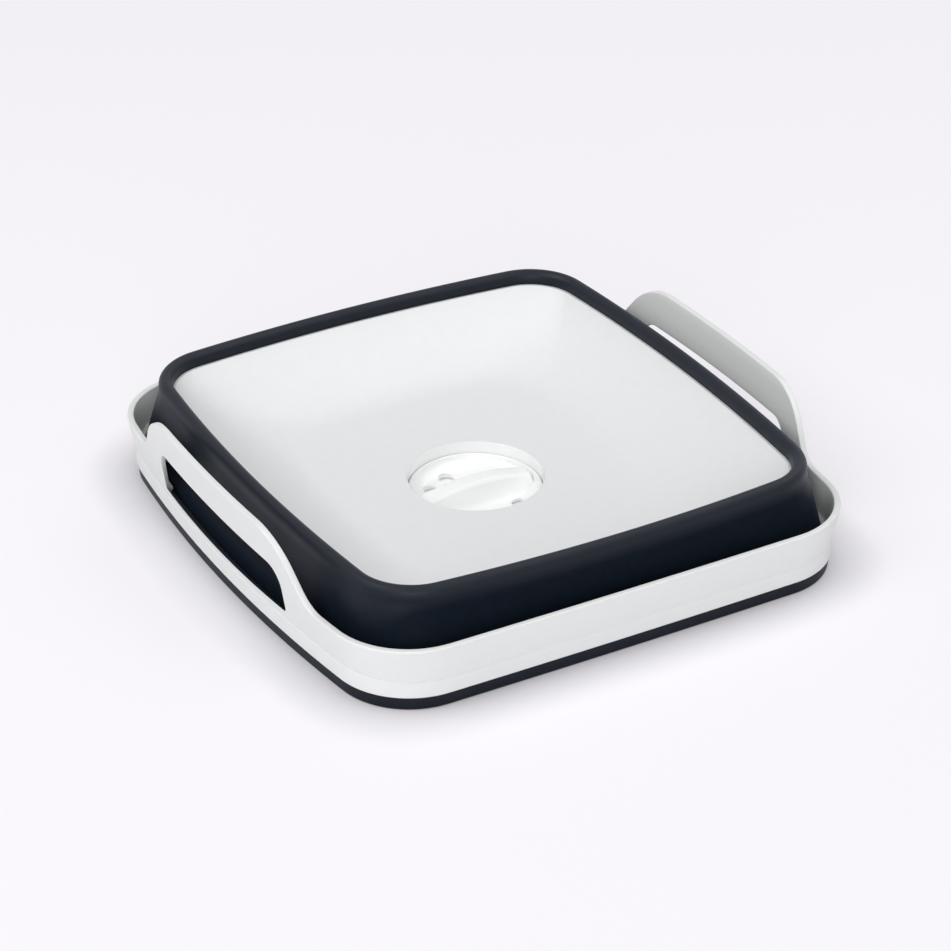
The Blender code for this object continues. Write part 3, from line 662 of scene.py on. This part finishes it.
def soft_wall_sections():
    """Ridge, folding wall and the grip round the floor's edge, as one soft skin."""
    sections = rounds(FLOOR, [(RIDGE_WIDTH * across, FLOOR_EDGE_Z + RIDGE_RISE * up)
                              for across, up in curve_through(RIDGE_CREST)])
    sections += wall_rows(0, FLOOR_EDGE_Z)
    sections += wall_rows(WALL_THICK, WALL_TOP_Z - SEAT_GAP)[::-1]
    flange_z = FLOOR_EDGE_Z - FLOOR_THICK - SEAT_GAP
    slot_out = FLANGE_REACH + SEAT_GAP
    return sections + rounds(FLOOR, [
        (RIDGE_GRIP_WIDTH, WALL_TOP_Z - 2 * SEAT_GAP),
        (RIDGE_GRIP_WIDTH, RIDGE_FOOT_Z + SEAT_GAP),
        (RIDGE_GRIP_WIDTH - SEAT_GAP, RIDGE_FOOT_Z),
        (RIDGE_LIP_REACH + SEAT_GAP, RIDGE_FOOT_Z),
        (RIDGE_LIP_REACH, RIDGE_FOOT_Z + SEAT_GAP),
        (RIDGE_LIP_REACH, flange_z),
        (slot_out, flange_z),
        (slot_out, FLOOR_EDGE_Z + SEAT_GAP),
    ])


# ---- floor

def dish_z(share):
    """Height of the floor's upper face, from the flat (0) to its edge (1)."""
    return FLAT_Z + (FLOOR_EDGE_Z - FLAT_Z) * share ** DISH_POWER


def dish_under_z(share):
    """Height of the floor's lower face, one wall thickness under the upper face."""
    slope = (FLOOR_EDGE_Z - FLAT_Z) * DISH_POWER * share ** (DISH_POWER - 1) / DISH_RUN
    return dish_z(share) - FLOOR_THICK * sqrt(1 + slope ** 2)


def floor_sections():
    """The dished floor from its edge to the drain, and back along its underside."""
    shares = [step / DISH_ROWS for step in range(DISH_ROWS, -1, -1)]
    flat = loop(FLAT)
    drain_r = CUP_MOUTH_R + SEAT_GAP / 3
    drain_edge = round_loop(drain_r, flat)
    edge = FINE_R
    under_z = DRAIN_Z - FLOOR_THICK
    flat_under_z = FLAT_Z - FLOOR_THICK
    flange_foot_z = FLOOR_EDGE_Z - FLOOR_THICK
    collar_in = CUP_FLANGE_R + 2 * SEAT_GAP
    collar_out = collar_in + COLLAR_WALL
    sections = rounds(FLOOR, [(FLANGE_REACH, FLOOR_EDGE_Z)])
    brim = grown(FLOOR, -EDGE_SHELF)
    sections += [at_height(loop(between(FLAT, brim, share)), dish_z(share)) for share in shares]
    for step in range(1, DRAIN_ROWS + 1):
        share = step / DRAIN_ROWS
        height = FLAT_Z + (DRAIN_Z - FLAT_Z) * share ** DRAIN_FALL_POWER
        sections.append([(ax + (bx - ax) * share, ay + (by - ay) * share, height)
                         for (ax, ay), (bx, by) in zip(flat, drain_edge)])
    well = [(drain_r, under_z), (collar_in, under_z), (collar_in, COLLAR_FOOT_Z + edge),
            (collar_in + edge, COLLAR_FOOT_Z), (collar_out - edge, COLLAR_FOOT_Z),
            (collar_out, COLLAR_FOOT_Z + edge), (collar_out, under_z)]
    sections += [at_height(round_loop(radius, flat), height) for radius, height in well]
    sections += rounds(FLAT, [
        (-FOOT_WALL, flat_under_z), (-FOOT_WALL, FOOT_Z + edge), (-FOOT_WALL + edge, FOOT_Z),
        (-edge, FOOT_Z), (0, FOOT_Z + edge), (0, flat_under_z)])
    sections += [at_height(loop(between(FLAT, FLOOR, share)), dish_under_z(share))
                 for share in shares[-2:0:-1] if dish_under_z(share) < flange_foot_z]
    return sections + rounds(FLOOR, [(-SEAT_GAP, flange_foot_z), (FLANGE_REACH, flange_foot_z)])


def foot_notches():
    """Gaps in the foot's four sides, which leave a foot at each corner and let water out."""
    low_z = FOOT_Z - CUT_OVERRUN
    half_x = FLAT.half_x - FOOT_LENGTH_X
    half_y = FLAT.half_y - FOOT_LENGTH_Y
    depth = FLAT.bow_x + FOOT_WALL + CUT_OVERRUN
    spans = []
    for side in (-1, 1):
        span_x = sorted((side * (FLAT.half_x - depth), side * (FLAT.half_x + CUT_OVERRUN)))
        span_y = sorted((side * (FLAT.half_y - depth), side * (FLAT.half_y + CUT_OVERRUN)))
        spans += [((span_x[0], -half_y, low_z), (span_x[1], half_y, FOOT_NOTCH_Z), 0),
                  ((-half_x, span_y[0], low_z), (half_x, span_y[1], FOOT_NOTCH_Z), 0)]
    return boxes("foot_notch_cutter", spans)


def floor_ribs():
    """Ribs under the flat, from the drain collar out to the foot."""
    top_z = DRAIN_Z - FLOOR_THICK / 2
    start = CUP_FLANGE_R + 2 * SEAT_GAP + COLLAR_WALL / 2
    corner = (hypot(FLAT.half_x, FLAT.half_y) - FLAT.corner * (sqrt(2) - 1) - FLAT.bow_x
              - FOOT_WALL * 2)
    corner_turn = atan2(FLAT.half_y, FLAT.half_x)
    spokes = ((FLAT.half_x - FOOT_WALL / 2, 0), (corner, corner_turn),
              (FLAT.half_y - FOOT_WALL / 2, pi / 2), (corner, pi - corner_turn))
    return boxes("rib_solid", [
        ((start, -RIB_THICK / 2, RIB_FOOT_Z), (reach, RIB_THICK / 2, top_z), turn + half_turn)
        for half_turn in (0, pi) for reach, turn in spokes])


# ---- drain

def cup_profile():
    """The drain cup turned about Z, from its lip down to its hub and out to its flange."""
    bore_r = SPINDLE_R + SEAT_GAP
    return softened([
        (CUP_MOUTH_R, DRAIN_Z, SHARP_R),
        (CUP_MOUTH_R - CUP_MOUTH_WALL, DRAIN_Z, CRISP_R),
        (CUP_SEAT_R, SEAL_GROOVE_TOP_Z, MILD_R),
        (CUP_FOOT_R, CUP_FLOOR_Z, FULL_R),
        (bore_r, CUP_FLOOR_Z, FINE_R),
        (bore_r, SPINDLE_FOOT_Z, CRISP_R),
        (HUB_R, SPINDLE_FOOT_Z, EASED_R),
        (HUB_R, CUP_FOOT_Z, FINE_R),
        (CUP_R - SEAT_GAP, CUP_FOOT_Z, FULL_R),
        (CUP_R - SEAT_GAP, CUP_FLANGE_Z - CUP_FLANGE_THICK, EASED_R),
        (CUP_FLANGE_R, CUP_FLANGE_Z - CUP_FLANGE_THICK, FINE_R),
        (CUP_FLANGE_R, CUP_FLANGE_Z, FINE_R),
        (CUP_MOUTH_R, CUP_FLANGE_Z, 0),
    ])


def clamp_ring():
    """The ring that screws into the floor's collar, with notches for a key."""
    high = CUP_FLANGE_Z - CUP_FLANGE_THICK - SEAT_GAP
    low = high - RING_HEIGHT
    outer = CUP_FLANGE_R + SEAT_GAP
    ring = flat_ring("clamp_ring", RING_IN_R, outer, low, high, EASED_R, EASED_R)
    notches = boxes("key_notch_cutter", [
        ((RING_IN_R - CUT_OVERRUN, -RING_NOTCH_WIDTH / 2, low - CUT_OVERRUN),
         ((RING_IN_R + outer) / 2, RING_NOTCH_WIDTH / 2, low + RING_NOTCH_DEPTH),
         2 * pi * (index + 0.5) / RING_NOTCHES) for index in range(RING_NOTCHES)])
    return shape_with(ring, (notches, "DIFFERENCE"))


def plug_profile():
    """The plug turned about Z: dish, raised lip, seal groove, base and spindle."""
    lip_in = PLUG_R - PLUG_LIP
    rise = PLUG_TOP_Z - PLUG_DISH_Z
    bowl = [(PLUG_DISH_R + (lip_in - PLUG_DISH_R) * out, PLUG_DISH_Z + rise * up, 0)
            for out, up in curve_through(PLUG_BOWL)]
    screw_r = SCREW_R + SEAT_GAP
    screw_z = SPINDLE_FOOT_Z + SCREW_LENGTH - SEAT_GAP - WASHER_THICK
    groove_r = PLUG_R - SEAL_GROOVE_DEPTH
    base_r = PLUG_R - 2 * SEAT_GAP
    return softened([(0, PLUG_DISH_Z, 0)] + bowl + [
        (lip_in, PLUG_TOP_Z, EASED_R),
        (PLUG_R, PLUG_TOP_Z, MILD_R),
        (PLUG_R, SEAL_GROOVE_TOP_Z, CRISP_R),
        (groove_r, SEAL_GROOVE_TOP_Z, FINE_R),
        (groove_r, SEAL_GROOVE_Z, FINE_R),
        (PLUG_R - SEAT_GAP, SEAL_GROOVE_Z, CRISP_R),
        (base_r, PLUG_BASE_Z, MILD_R),
        (SPINDLE_R, PLUG_BASE_Z, 0),
        (SPINDLE_R, SPINDLE_FOOT_Z, FINE_R),
        (screw_r, SPINDLE_FOOT_Z, 0),
        (screw_r, screw_z, 0),
        (0, screw_z, 0),
    ])


def grip_solid():
    """Arched grip bar with hollow flanks and softly rounded ends."""
    half_top = GRIP_WIDTH / 2
    spread = (GRIP_FOOT_WIDTH - GRIP_WIDTH) / 2
    rings = []
    for index in range(GRIP_STATIONS + 1):
        along = -GRIP_HALF_LENGTH * cos(pi * index / GRIP_STATIONS)
        tuck = max(0.0, GRIP_EDGE_R - (GRIP_HALF_LENGTH - abs(along)))
        tuck = GRIP_EDGE_R - sqrt(GRIP_EDGE_R ** 2 - tuck ** 2)
        top = GRIP_END_Z + GRIP_ARCH * (1 - (along / GRIP_HALF_LENGTH) ** 2) - tuck
        rise = top - PLUG_DISH_Z
        flank = [(half_top + spread * out - tuck, PLUG_DISH_Z + rise * up)
                 for out, up in curve_through(GRIP_FLANK)]
        crown = [(half_top - tuck - out, top - back)
                 for out, back in quarter_round(GRIP_EDGE_R)[1:]]
        half = [(flank[0][0], PLUG_DISH_Z - GRIP_SINK)] + flank + crown
        rings.append([(along, y, z) for y, z in half + [(-y, z) for y, z in reversed(half)]])
    return closed("grip_solid", [rings])


def spindle_screw():
    """Pan-head screw under the hub, with a cross recess for a driver."""
    head_top = SPINDLE_FOOT_Z - 2 * SEAT_GAP - WASHER_THICK
    head_foot = head_top - SCREW_HEAD_THICK
    tip_z = head_top + SCREW_LENGTH - SEAT_GAP
    screw = turned("spindle_screw", softened([
        (0, tip_z, 0),
        (SCREW_R, tip_z - SCREW_R, CRISP_R),
        (SCREW_R, head_top, SHARP_R),
        (SCREW_HEAD_R, head_top, CRISP_R),
        (SCREW_HEAD_R, head_foot, DOMED_R),
        (0, head_foot, 0),
    ]), SCREW_TURN_STEPS)
    recess = boxes("driver_recess", [
        ((-x, -y, head_foot - CUT_OVERRUN), (x, y, head_foot + depth), 0)
        for x, y, depth in ((RECESS_ARM, RECESS_HALF_WIDTH, RECESS_DEPTHS[0]),
                            (RECESS_HALF_WIDTH, RECESS_ARM, RECESS_DEPTHS[1]))])
    return shape_with(screw, (recess, "DIFFERENCE"))


# ---- materials

def per_metre(millimetres):
    """A texture scale whose pattern repeats about once in a real size."""
    return 1 / (millimetres * MM)


def set_inputs(tree, node, inputs):
    """Gives each input of a node its value, or a link from a socket."""
    for key, value in inputs.items():
        if isinstance(value, bpy.types.NodeSocket):
            tree.links.new(value, node.inputs[key])
        else:
            node.inputs[key].default_value = value


def add_node(tree, kind, inputs=None, **settings):
    """A shader node with its settings and its inputs."""
    node = tree.nodes.new("ShaderNode" + kind)
    for name, value in settings.items():
        setattr(node, name, value)
    set_inputs(tree, node, inputs or {})
    return node


def new_material(name, colour):
    """A material that the viewport shows in its main colour, and its node tree."""
    material = bpy.data.materials.new(name)
    material.use_nodes = True
    material.diffuse_color = colour
    return material, material.node_tree


def moulded(name, colour, grain_mm, roughness, tint, ior):
    """A moulded plastic or rubber: a tool grain (width, depth), slow changes of gloss (low, high)
    and a faint mottle."""
    colour = (*colour, 1.0)
    material, tree = new_material(name, colour)
    place = add_node(tree, "TexCoord").outputs["Object"]
    flow, tone, grain = (
        add_node(tree, "TexNoise", {"Vector": place, "Scale": per_metre(width), "Detail": detail,
                                    "Roughness": rough}).outputs["Fac"]
        for width, detail, rough in ((FLOW_MM, 3.0, 0.5), (MOTTLE_MM, 4.0, 0.6),
                                     (grain_mm[0], 2.0, 0.6)))
    gloss = add_node(tree, "MapRange", {"Value": flow, "From Min": 0.3, "From Max": 0.7,
                                        "To Min": roughness[0], "To Max": roughness[1]})
    mix = add_node(tree, "Mix", {"Factor": tone, "A": colour, "B": linear(tint)}, data_type="RGBA")
    bump = add_node(tree, "Bump", {"Height": grain, "Distance": grain_mm[1] * MM})
    set_inputs(tree, tree.nodes["Principled BSDF"], {
        "Base Color": mix.outputs["Result"], "Roughness": gloss.outputs["Result"],
        "Normal": bump.outputs["Normal"], "IOR": ior})
    return material


def rim_polypropylene(colour):
    # Polypropylene, injection moulded in a spark-eroded tool: an even satin white with a broad,
    # soft highlight. The real grain is about 0.1 mm, drawn at 0.9 mm so that it shows at all.
    return moulded("polypropylene_rim", colour, grain_mm=(0.9, 0.004), roughness=(0.34, 0.42),
                   tint="#DFE1E0", ior=1.49)


def floor_polypropylene(colour):
    # The same polypropylene in a smoother tool, a little greyer in the mass, with a silky sheen.
    # Its grain, too fine to show, is drawn at 1.1 mm.
    return moulded("polypropylene_floor", colour, grain_mm=(1.1, 0.003), roughness=(0.36, 0.44),
                   tint="#DFE0E1", ior=1.49)


def soft_elastomer(colour):
    # Thermoplastic elastomer, moulded matt: near-black navy. How strongly it reflects is set by a
    # mask, a painted sheen: strong on the ridge and the skirt, reaching further down the walls at
    # the handles, and weak on the lower walls between the handles, which stay darker as painted
    # shade. Its grain is finer than a pixel, so it is drawn at 0.8 mm.
    material = moulded("elastomer_soft_wall", colour, grain_mm=(0.8, 0.006),
                       roughness=(0.44, 0.54), tint="#121A24", ior=1.5)
    tree = material.node_tree
    # Painted sheen: the mask raises the reflection on the ridge and skirt, a painted highlight for
    # the light from above, and leaves the lower walls dull
    rubbed = add_node(tree, "Attribute", attribute_name="rubbed").outputs["Fac"]
    sheen_level = add_node(tree, "MapRange", {"Value": rubbed, "To Min": 0.03, "To Max": 0.22})
    set_inputs(tree, tree.nodes["Principled BSDF"], {
        "Specular IOR Level": sheen_level.outputs["Result"], "Sheen Weight": 0.05,
        "Sheen Roughness": 0.35, "Sheen Tint": linear("#A9C0E0")})
    return material


def smooth_step(value):
    value = min(1.0, max(0.0, value))
    return value * value * (3 - 2 * value)


def paint_sheen(thing, low_z, low_z_between, high_z):
    """Marks a painted sheen on a soft piece, from none below one height to all above another. The
    lower height has its own value between the handles, where the walls stay dull and darker:
    painted shade."""
    marks = thing.data.attributes.new("rubbed", "FLOAT", "POINT")
    for vertex, mark in zip(thing.data.vertices, marks.data):
        x, y, z = vertex.co
        between_share = smooth_step(
            SHEEN_SIDE_SHARE + SHEEN_SIDE_RATE * (abs(y) / RIM.half_y - abs(x) / RIM.half_x))
        low = low_z + (low_z_between - low_z) * between_share
        mark.value = smooth_step((z - low) / (high_z - low))


def drain_abs(colour):
    # ABS from a polished tool: bright white and glossy, with a faint ripple where it cooled.
    return moulded("abs_polished_drain", colour, grain_mm=(5.0, 0.006), roughness=(0.16, 0.22),
                   tint="#F1F2F2", ior=1.53)


def pressed_silicone(colour):
    # Silicone, pressed in a matt tool: a flat grey with no clear highlight. Its fine grain is
    # drawn at 0.7 mm.
    return moulded("silicone_pressed", colour, grain_mm=(0.7, 0.004), roughness=(0.52, 0.62),
                   tint="#9A9C9E", ior=1.41)


def turned_stainless(colour):
    # Stainless steel, turned on a lathe: a bright grey metal with rings left by the tool, 0.15 mm
    # apart on the real one and drawn 2.5 mm apart here.
    colour = (*colour, 1.0)
    material, tree = new_material("stainless_turned", colour)
    place = add_node(tree, "TexCoord").outputs["Object"]
    rings = add_node(tree, "TexWave", {"Vector": place, "Scale": RING_SCALE, "Distortion": 0.6},
                     wave_type="RINGS", rings_direction="Z").outputs["Fac"]
    gloss = add_node(tree, "MapRange", {"Value": rings, "To Min": 0.22, "To Max": 0.34})
    bump = add_node(tree, "Bump", {"Height": rings, "Strength": 0.5, "Distance": 0.004 * MM})
    set_inputs(tree, tree.nodes["Principled BSDF"], {
        "Base Color": colour, "Metallic": 1.0, "Roughness": gloss.outputs["Result"],
        "Normal": bump.outputs["Normal"]})
    return material


# ---- stage

def seen_rays(tree):
    """1 for rays from the camera, a mirror or something clear, and 0 for the rest."""
    rays = add_node(tree, "LightPath").outputs
    mirrored = add_node(tree, "Math", {0: rays["Is Glossy Ray"], 1: rays["Is Transmission Ray"]},
                        operation="MAXIMUM")
    return add_node(tree, "Math", {0: rays["Is Camera Ray"], 1: mirrored.outputs[0]},
                    operation="MAXIMUM").outputs[0]


def studio_floor(colour, own):
    # Matt paper sweep. Part of its colour is its own to whatever looks at it, so it stays pale and
    # even, and the rest is lit, so it keeps the basin's shadow. Its own part fades where the basin
    # stands close over it: a painted contact shadow.
    material, tree = new_material("paper_sweep", colour)
    tree.nodes.clear()
    lit = add_node(tree, "BsdfDiffuse", {"Color": colour})
    # Painted contact shadow: the floor's own glow fades close under and beside the basin
    near = add_node(tree, "AmbientOcclusion", {"Distance": CONTACT_REACH})
    glow = add_node(tree, "Emission", {"Color": colour, "Strength": near.outputs["AO"]})
    share = add_node(tree, "Math", {0: seen_rays(tree), 1: own}, operation="MULTIPLY")
    mix = add_node(tree, "MixShader", {0: share.outputs[0], 1: lit.outputs[0], 2: glow.outputs[0]})
    add_node(tree, "OutputMaterial", {"Surface": mix.outputs[0]})
    return material


def studio_world(colour, strength):
    """A pale backdrop to the camera and in reflections, and a plain weak sky for the light."""
    world = bpy.data.worlds.new("studio_world")
    world.use_nodes = True
    tree = world.node_tree
    tree.nodes.clear()
    sky = add_node(tree, "Background", {"Color": (1, 1, 1, 1), "Strength": strength})
    backdrop = add_node(tree, "Background", {"Color": colour})
    mix = add_node(tree, "MixShader",
                   {0: seen_rays(tree), 1: sky.outputs[0], 2: backdrop.outputs[0]})
    add_node(tree, "OutputWorld", {"Surface": mix.outputs[0]})
    bpy.context.scene.world = world


def aimed(data, azimuth, elevation, distance, target=(0, 0, 0)):
    """A lamp or camera that looks at a place near the basin from round and above."""
    flat = cos(elevation)
    away = Vector((sin(azimuth) * flat, -cos(azimuth) * flat, sin(elevation)))
    thing = bpy.data.objects.new(data.name, data)
    thing.location = Vector(target) + away * distance
    thing.rotation_euler = (-away).to_track_quat("-Z", "Y").to_euler()
    bpy.context.collection.objects.link(thing)
    return thing


def softbox(name, turn_deg, elevation_deg, distance, size, power):
    """A square area lamp, turned round the basin from the camera's side."""
    lamp = bpy.data.lights.new(name, "AREA")
    lamp.size = size
    lamp.energy = power
    aimed(lamp, VIEW_AZIMUTH + radians(turn_deg), radians(elevation_deg), distance)


# ---- settings

class RimSettings(bpy.types.PropertyGroup):
    """Sizes and colour of the rim that stay free inside its CAD size."""
    lip_round: bpy.props.FloatProperty(
        name="Lip round", description="Radius along the rim's top edge",
        default=0.0008, min=0.0002, max=0.0015, unit="LENGTH")
    slot_round: bpy.props.FloatProperty(
        name="Slot edge round", description="Radius round the edges of the finger slots",
        default=0.0006, min=0.0001, max=0.001, unit="LENGTH")
    colour: bpy.props.FloatVectorProperty(
        name="Colour", description="Colour of the rim's polypropylene",
        default=linear("#E3E5E4")[:3], min=0, max=1, subtype="COLOR")


class SoftSettings(bpy.types.PropertyGroup):
    """Colour of the soft wall, ridge and skirt."""
    colour: bpy.props.FloatVectorProperty(
        name="Colour", description="Colour of the elastomer",
        default=linear("#0C121A")[:3], min=0, max=1, subtype="COLOR")


class FloorSettings(bpy.types.PropertyGroup):
    """Colour of the dished floor."""
    colour: bpy.props.FloatVectorProperty(
        name="Colour", description="Colour of the floor's polypropylene",
        default=linear("#E4E5E6")[:3], min=0, max=1, subtype="COLOR")


class DrainSettings(bpy.types.PropertyGroup):
    """Colours of the drain and the plug."""
    colour: bpy.props.FloatVectorProperty(
        name="Colour", description="Colour of the cup, plug and ring",
        default=linear("#F5F6F6")[:3], min=0, max=1, subtype="COLOR")
    seal_colour: bpy.props.FloatVectorProperty(
        name="Seal colour", description="Colour of the gasket and the O-ring",
        default=linear("#A2A4A6")[:3], min=0, max=1, subtype="COLOR")


class PlugSettings(bpy.types.PropertyGroup):
    """Size and colour that only the plug's pieces have."""
    hole_round: bpy.props.FloatProperty(
        name="Hole edge round", description="Radius round the upper edge of the plug's holes",
        default=0.0003, min=0.0001, max=0.0006, unit="LENGTH")
    steel_colour: bpy.props.FloatVectorProperty(
        name="Steel colour", description="Colour of the washer and the screw",
        default=linear("#CBCCCB")[:3], min=0, max=1, subtype="COLOR")


class StageSettings(bpy.types.PropertyGroup):
    """Backdrop and lamps."""
    backdrop: bpy.props.FloatVectorProperty(
        name="Backdrop", description="Colour of the floor and the backdrop",
        default=linear("#F9F7FC")[:3], min=0, max=1, subtype="COLOR")
    floor_size: bpy.props.FloatProperty(
        name="Floor size", description="Length of the floor's sides",
        default=30.0, min=4, unit="LENGTH")
    own_light: bpy.props.FloatProperty(
        name="Own light", description="Share of the floor's colour that needs no lamp", default=0.6,
        min=0, max=1)
    sky: bpy.props.FloatProperty(
        name="Sky", description="Strength of the light from all round", default=0.10, min=0)
    top: bpy.props.FloatProperty(
        name="Top", description="Power of the large lamp overhead, in watts", default=10.0, min=0)
    left: bpy.props.FloatProperty(
        name="Left", description="Power of the high lamp on the left, in watts",
        default=54.0, min=0)
    right: bpy.props.FloatProperty(
        name="Right", description="Power of the high lamp on the right, in watts",
        default=22.0, min=0)
    back: bpy.props.FloatProperty(
        name="Back", description="Power of the high lamp behind, in watts", default=21.0, min=0)
    front: bpy.props.FloatProperty(
        name="Front", description="Power of the low lamp behind the camera, in watts",
        default=54.0, min=0)


# ---- operators

class WASHBASIN_OT_rim(bpy.types.Operator):
    """Build the white rim with its handles and finger slots"""
    bl_idname = "washbasin.rim"
    bl_label = "Rim"

    def execute(self, context):
        settings = context.scene.washbasin_rim
        rim = lofted("rim_shell", rim_sections(settings.lip_round))
        for side in (-1, 1):
            shape_with(rim, (slot_cutter(side, rim, settings.slot_round), "DIFFERENCE"))
        dress(rim, rim_polypropylene(settings.colour))
        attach(rim, "rim")
        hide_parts("rim_frame")
        return {"FINISHED"}


class WASHBASIN_OT_soft(bpy.types.Operator):
    """Build the skirt, and the wall that folds between the ridge and the hem"""
    bl_idname = "washbasin.soft"
    bl_label = "Soft moulding"

    def execute(self, context):
        material = soft_elastomer(context.scene.washbasin_soft.colour)
        skirt = lofted("skirt", skirt_sections())
        # Painted sheen on the skirt, from half at its foot to full at its top
        paint_sheen(skirt, -RIM_BOTTOM_Z, -RIM_BOTTOM_Z, RIM_BOTTOM_Z)
        dress(skirt, material)
        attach(skirt, "rim")
        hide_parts("foot_skirt")
        wall = lofted("folding_wall", soft_wall_sections())
        # Painted sheen on the ridge, fading down the wall, which stays dull lower down between the
        # handles as painted shade
        paint_sheen(wall, WALL_KNEE_Z + SHEEN_RISE, RIDGE_FOOT_Z, FLOOR_EDGE_Z + RIDGE_RISE / 2)
        dress(wall, material, WALL_SMOOTH_DEG)
        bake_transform(wall)
        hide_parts("fold_wall", "ridge_bead")
        return {"FINISHED"}


class WASHBASIN_OT_floor(bpy.types.Operator):
    """Build the dished floor with its feet, ribs and drain collar"""
    bl_idname = "washbasin.floor"
    bl_label = "Floor"

    def execute(self, context):
        floor = lofted("dished_floor", floor_sections())
        shape_with(floor, (foot_notches(), "DIFFERENCE"), (floor_ribs(), "UNION"))
        dress(floor, floor_polypropylene(context.scene.washbasin_floor.colour))
        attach(floor, "basin")
        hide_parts("floor_panel")
        return {"FINISHED"}


class WASHBASIN_OT_drain(bpy.types.Operator):
    """Build the drain cup with its gasket and clamping ring"""
    bl_idname = "washbasin.drain"
    bl_label = "Drain"

    def execute(self, context):
        settings = context.scene.washbasin_drain
        white = drain_abs(settings.colour)
        cup = turned("drain_well", cup_profile())
        shape_with(cup, (round_holes("outlet_cutter", TWIST_DEG, CUP_FOOT_Z - CUT_OVERRUN,
                                     CUP_FLOOR_Z + CUT_OVERRUN), "DIFFERENCE"))
        dress(cup, white)
        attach(cup, "basin")
        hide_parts("drain_cup")
        gasket = flat_ring("well_gasket", CUP_R + SEAT_GAP, CUP_FLANGE_R, CUP_FLANGE_Z + SEAT_GAP,
                           DRAIN_Z - FLOOR_THICK - SEAT_GAP, EASED_R, EASED_R)
        dress(gasket, pressed_silicone(settings.seal_colour))
        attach(gasket, "basin")
        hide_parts("cup_gasket")
        ring = clamp_ring()
        dress(ring, white)
        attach(ring, "basin")
        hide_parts("retaining_ring")
        return {"FINISHED"}


class WASHBASIN_OT_plug(bpy.types.Operator):
    """Build the twist plug with its seal, washer and screw"""
    bl_idname = "washbasin.plug"
    bl_label = "Plug"

    def execute(self, context):
        colours = context.scene.washbasin_drain
        settings = context.scene.washbasin_plug
        steel = turned_stainless(settings.steel_colour)
        plug = turned("twist_plug", plug_profile(), PLUG_TURN_STEPS)
        cutter = round_holes("plug_hole_cutter", 0, PLUG_BASE_Z - CUT_OVERRUN,
                             PLUG_TOP_Z + CUT_OVERRUN, PLUG_DISH_Z + CUT_SKIM, settings.hole_round)
        shape_with(plug, (grip_solid(), "UNION"), (cutter, "DIFFERENCE"))
        dress(plug, drain_abs(colours.colour))
        middle = CUP_SEAT_R - SEAT_GAP - SEAL_TUBE_R, (SEAL_GROOVE_Z + SEAL_GROOVE_TOP_Z) / 2
        seal = turned("plug_o_ring", [on_circle(SEAL_TUBE_R, turn, *middle)
                                      for turn in full_turn(SEAL_STEPS)])
        dress(seal, pressed_silicone(colours.seal_colour), SEAL_SMOOTH_DEG)
        high = SPINDLE_FOOT_Z - SEAT_GAP
        washer = flat_ring("spindle_washer", SCREW_R + SEAT_GAP, WASHER_R, high - WASHER_THICK,
                           high, SHARP_R, FINE_R, WASHER_TURN_STEPS)
        dress(washer, steel)
        screw = spindle_screw()
        dress(screw, steel)
        for piece, node in ((plug, "drain_plug"), (seal, "plug_seal"), (washer, "plug_washer"),
                            (screw, "plug_screw")):
            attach(piece, "plug")
            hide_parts(node)
        return {"FINISHED"}


class WASHBASIN_OT_stage(bpy.types.Operator):
    """Set the floor, lamps, backdrop and camera"""
    bl_idname = "washbasin.stage"
    bl_label = "Stage"

    def execute(self, context):
        settings = context.scene.washbasin_stage
        backdrop = (*settings.backdrop, 1.0)
        half = settings.floor_size / 2
        form = bmesh.new()
        form.faces.new([form.verts.new((x * half, y * half, STUDIO_FLOOR_Z))
                        for x, y in ((-1, -1), (1, -1), (1, 1), (-1, 1))])
        floor = add_piece("studio_floor", form)
        floor.data.materials.append(studio_floor(backdrop, settings.own_light))
        studio_world(backdrop, settings.sky)
        for name, place in LAMPS.items():
            softbox(f"{name}_lamp", *place, getattr(settings, name))
        lens = bpy.data.cameras.new("camera")
        lens.lens = VIEW_LENS_MM
        lens.clip_end = VIEW_CLIP_END
        context.scene.camera = aimed(lens, VIEW_AZIMUTH, VIEW_ELEVATION, VIEW_DISTANCE, VIEW_TARGET)
        context.scene.view_settings.view_transform = "Standard"
        return {"FINISHED"}


def settings_name(operator):
    """What the scene calls the settings of an operator."""
    return operator.bl_idname.replace(".", "_")


class WASHBASIN_PT_panel(bpy.types.Panel):
    """Lists the washbasin's settings and the pieces to build"""
    bl_label = "Washbasin"
    bl_idname = "WASHBASIN_PT_panel"
    bl_space_type = "VIEW_3D"
    bl_region_type = "UI"
    bl_category = "Washbasin"

    def draw(self, context):
        for operator, group in ROWS:
            box = self.layout.box()
            box.operator(operator.bl_idname)
            for field in group.__annotations__:
                box.prop(getattr(context.scene, settings_name(operator)), field)


ROWS = (
    (WASHBASIN_OT_stage, StageSettings),
    (WASHBASIN_OT_rim, RimSettings),
    (WASHBASIN_OT_soft, SoftSettings),
    (WASHBASIN_OT_floor, FloorSettings),
    (WASHBASIN_OT_drain, DrainSettings),
    (WASHBASIN_OT_plug, PlugSettings),
)
CLASSES = (*sum(ROWS, ()), WASHBASIN_PT_panel)


def register():
    for cls in CLASSES:
        bpy.utils.register_class(cls)
    for operator, group in ROWS:
        setattr(bpy.types.Scene, settings_name(operator), bpy.props.PointerProperty(type=group))


def unregister():
    for operator, _ in ROWS:
        delattr(bpy.types.Scene, settings_name(operator))
    for cls in reversed(CLASSES):
        bpy.utils.unregister_class(cls)


def main():
    register()
    bpy.ops.washbasin.stage()
    bpy.ops.washbasin.rim()
    bpy.ops.washbasin.soft()
    bpy.ops.washbasin.floor()
    bpy.ops.washbasin.drain()
    bpy.ops.washbasin.plug()


if __name__ == "__main__":
    main()
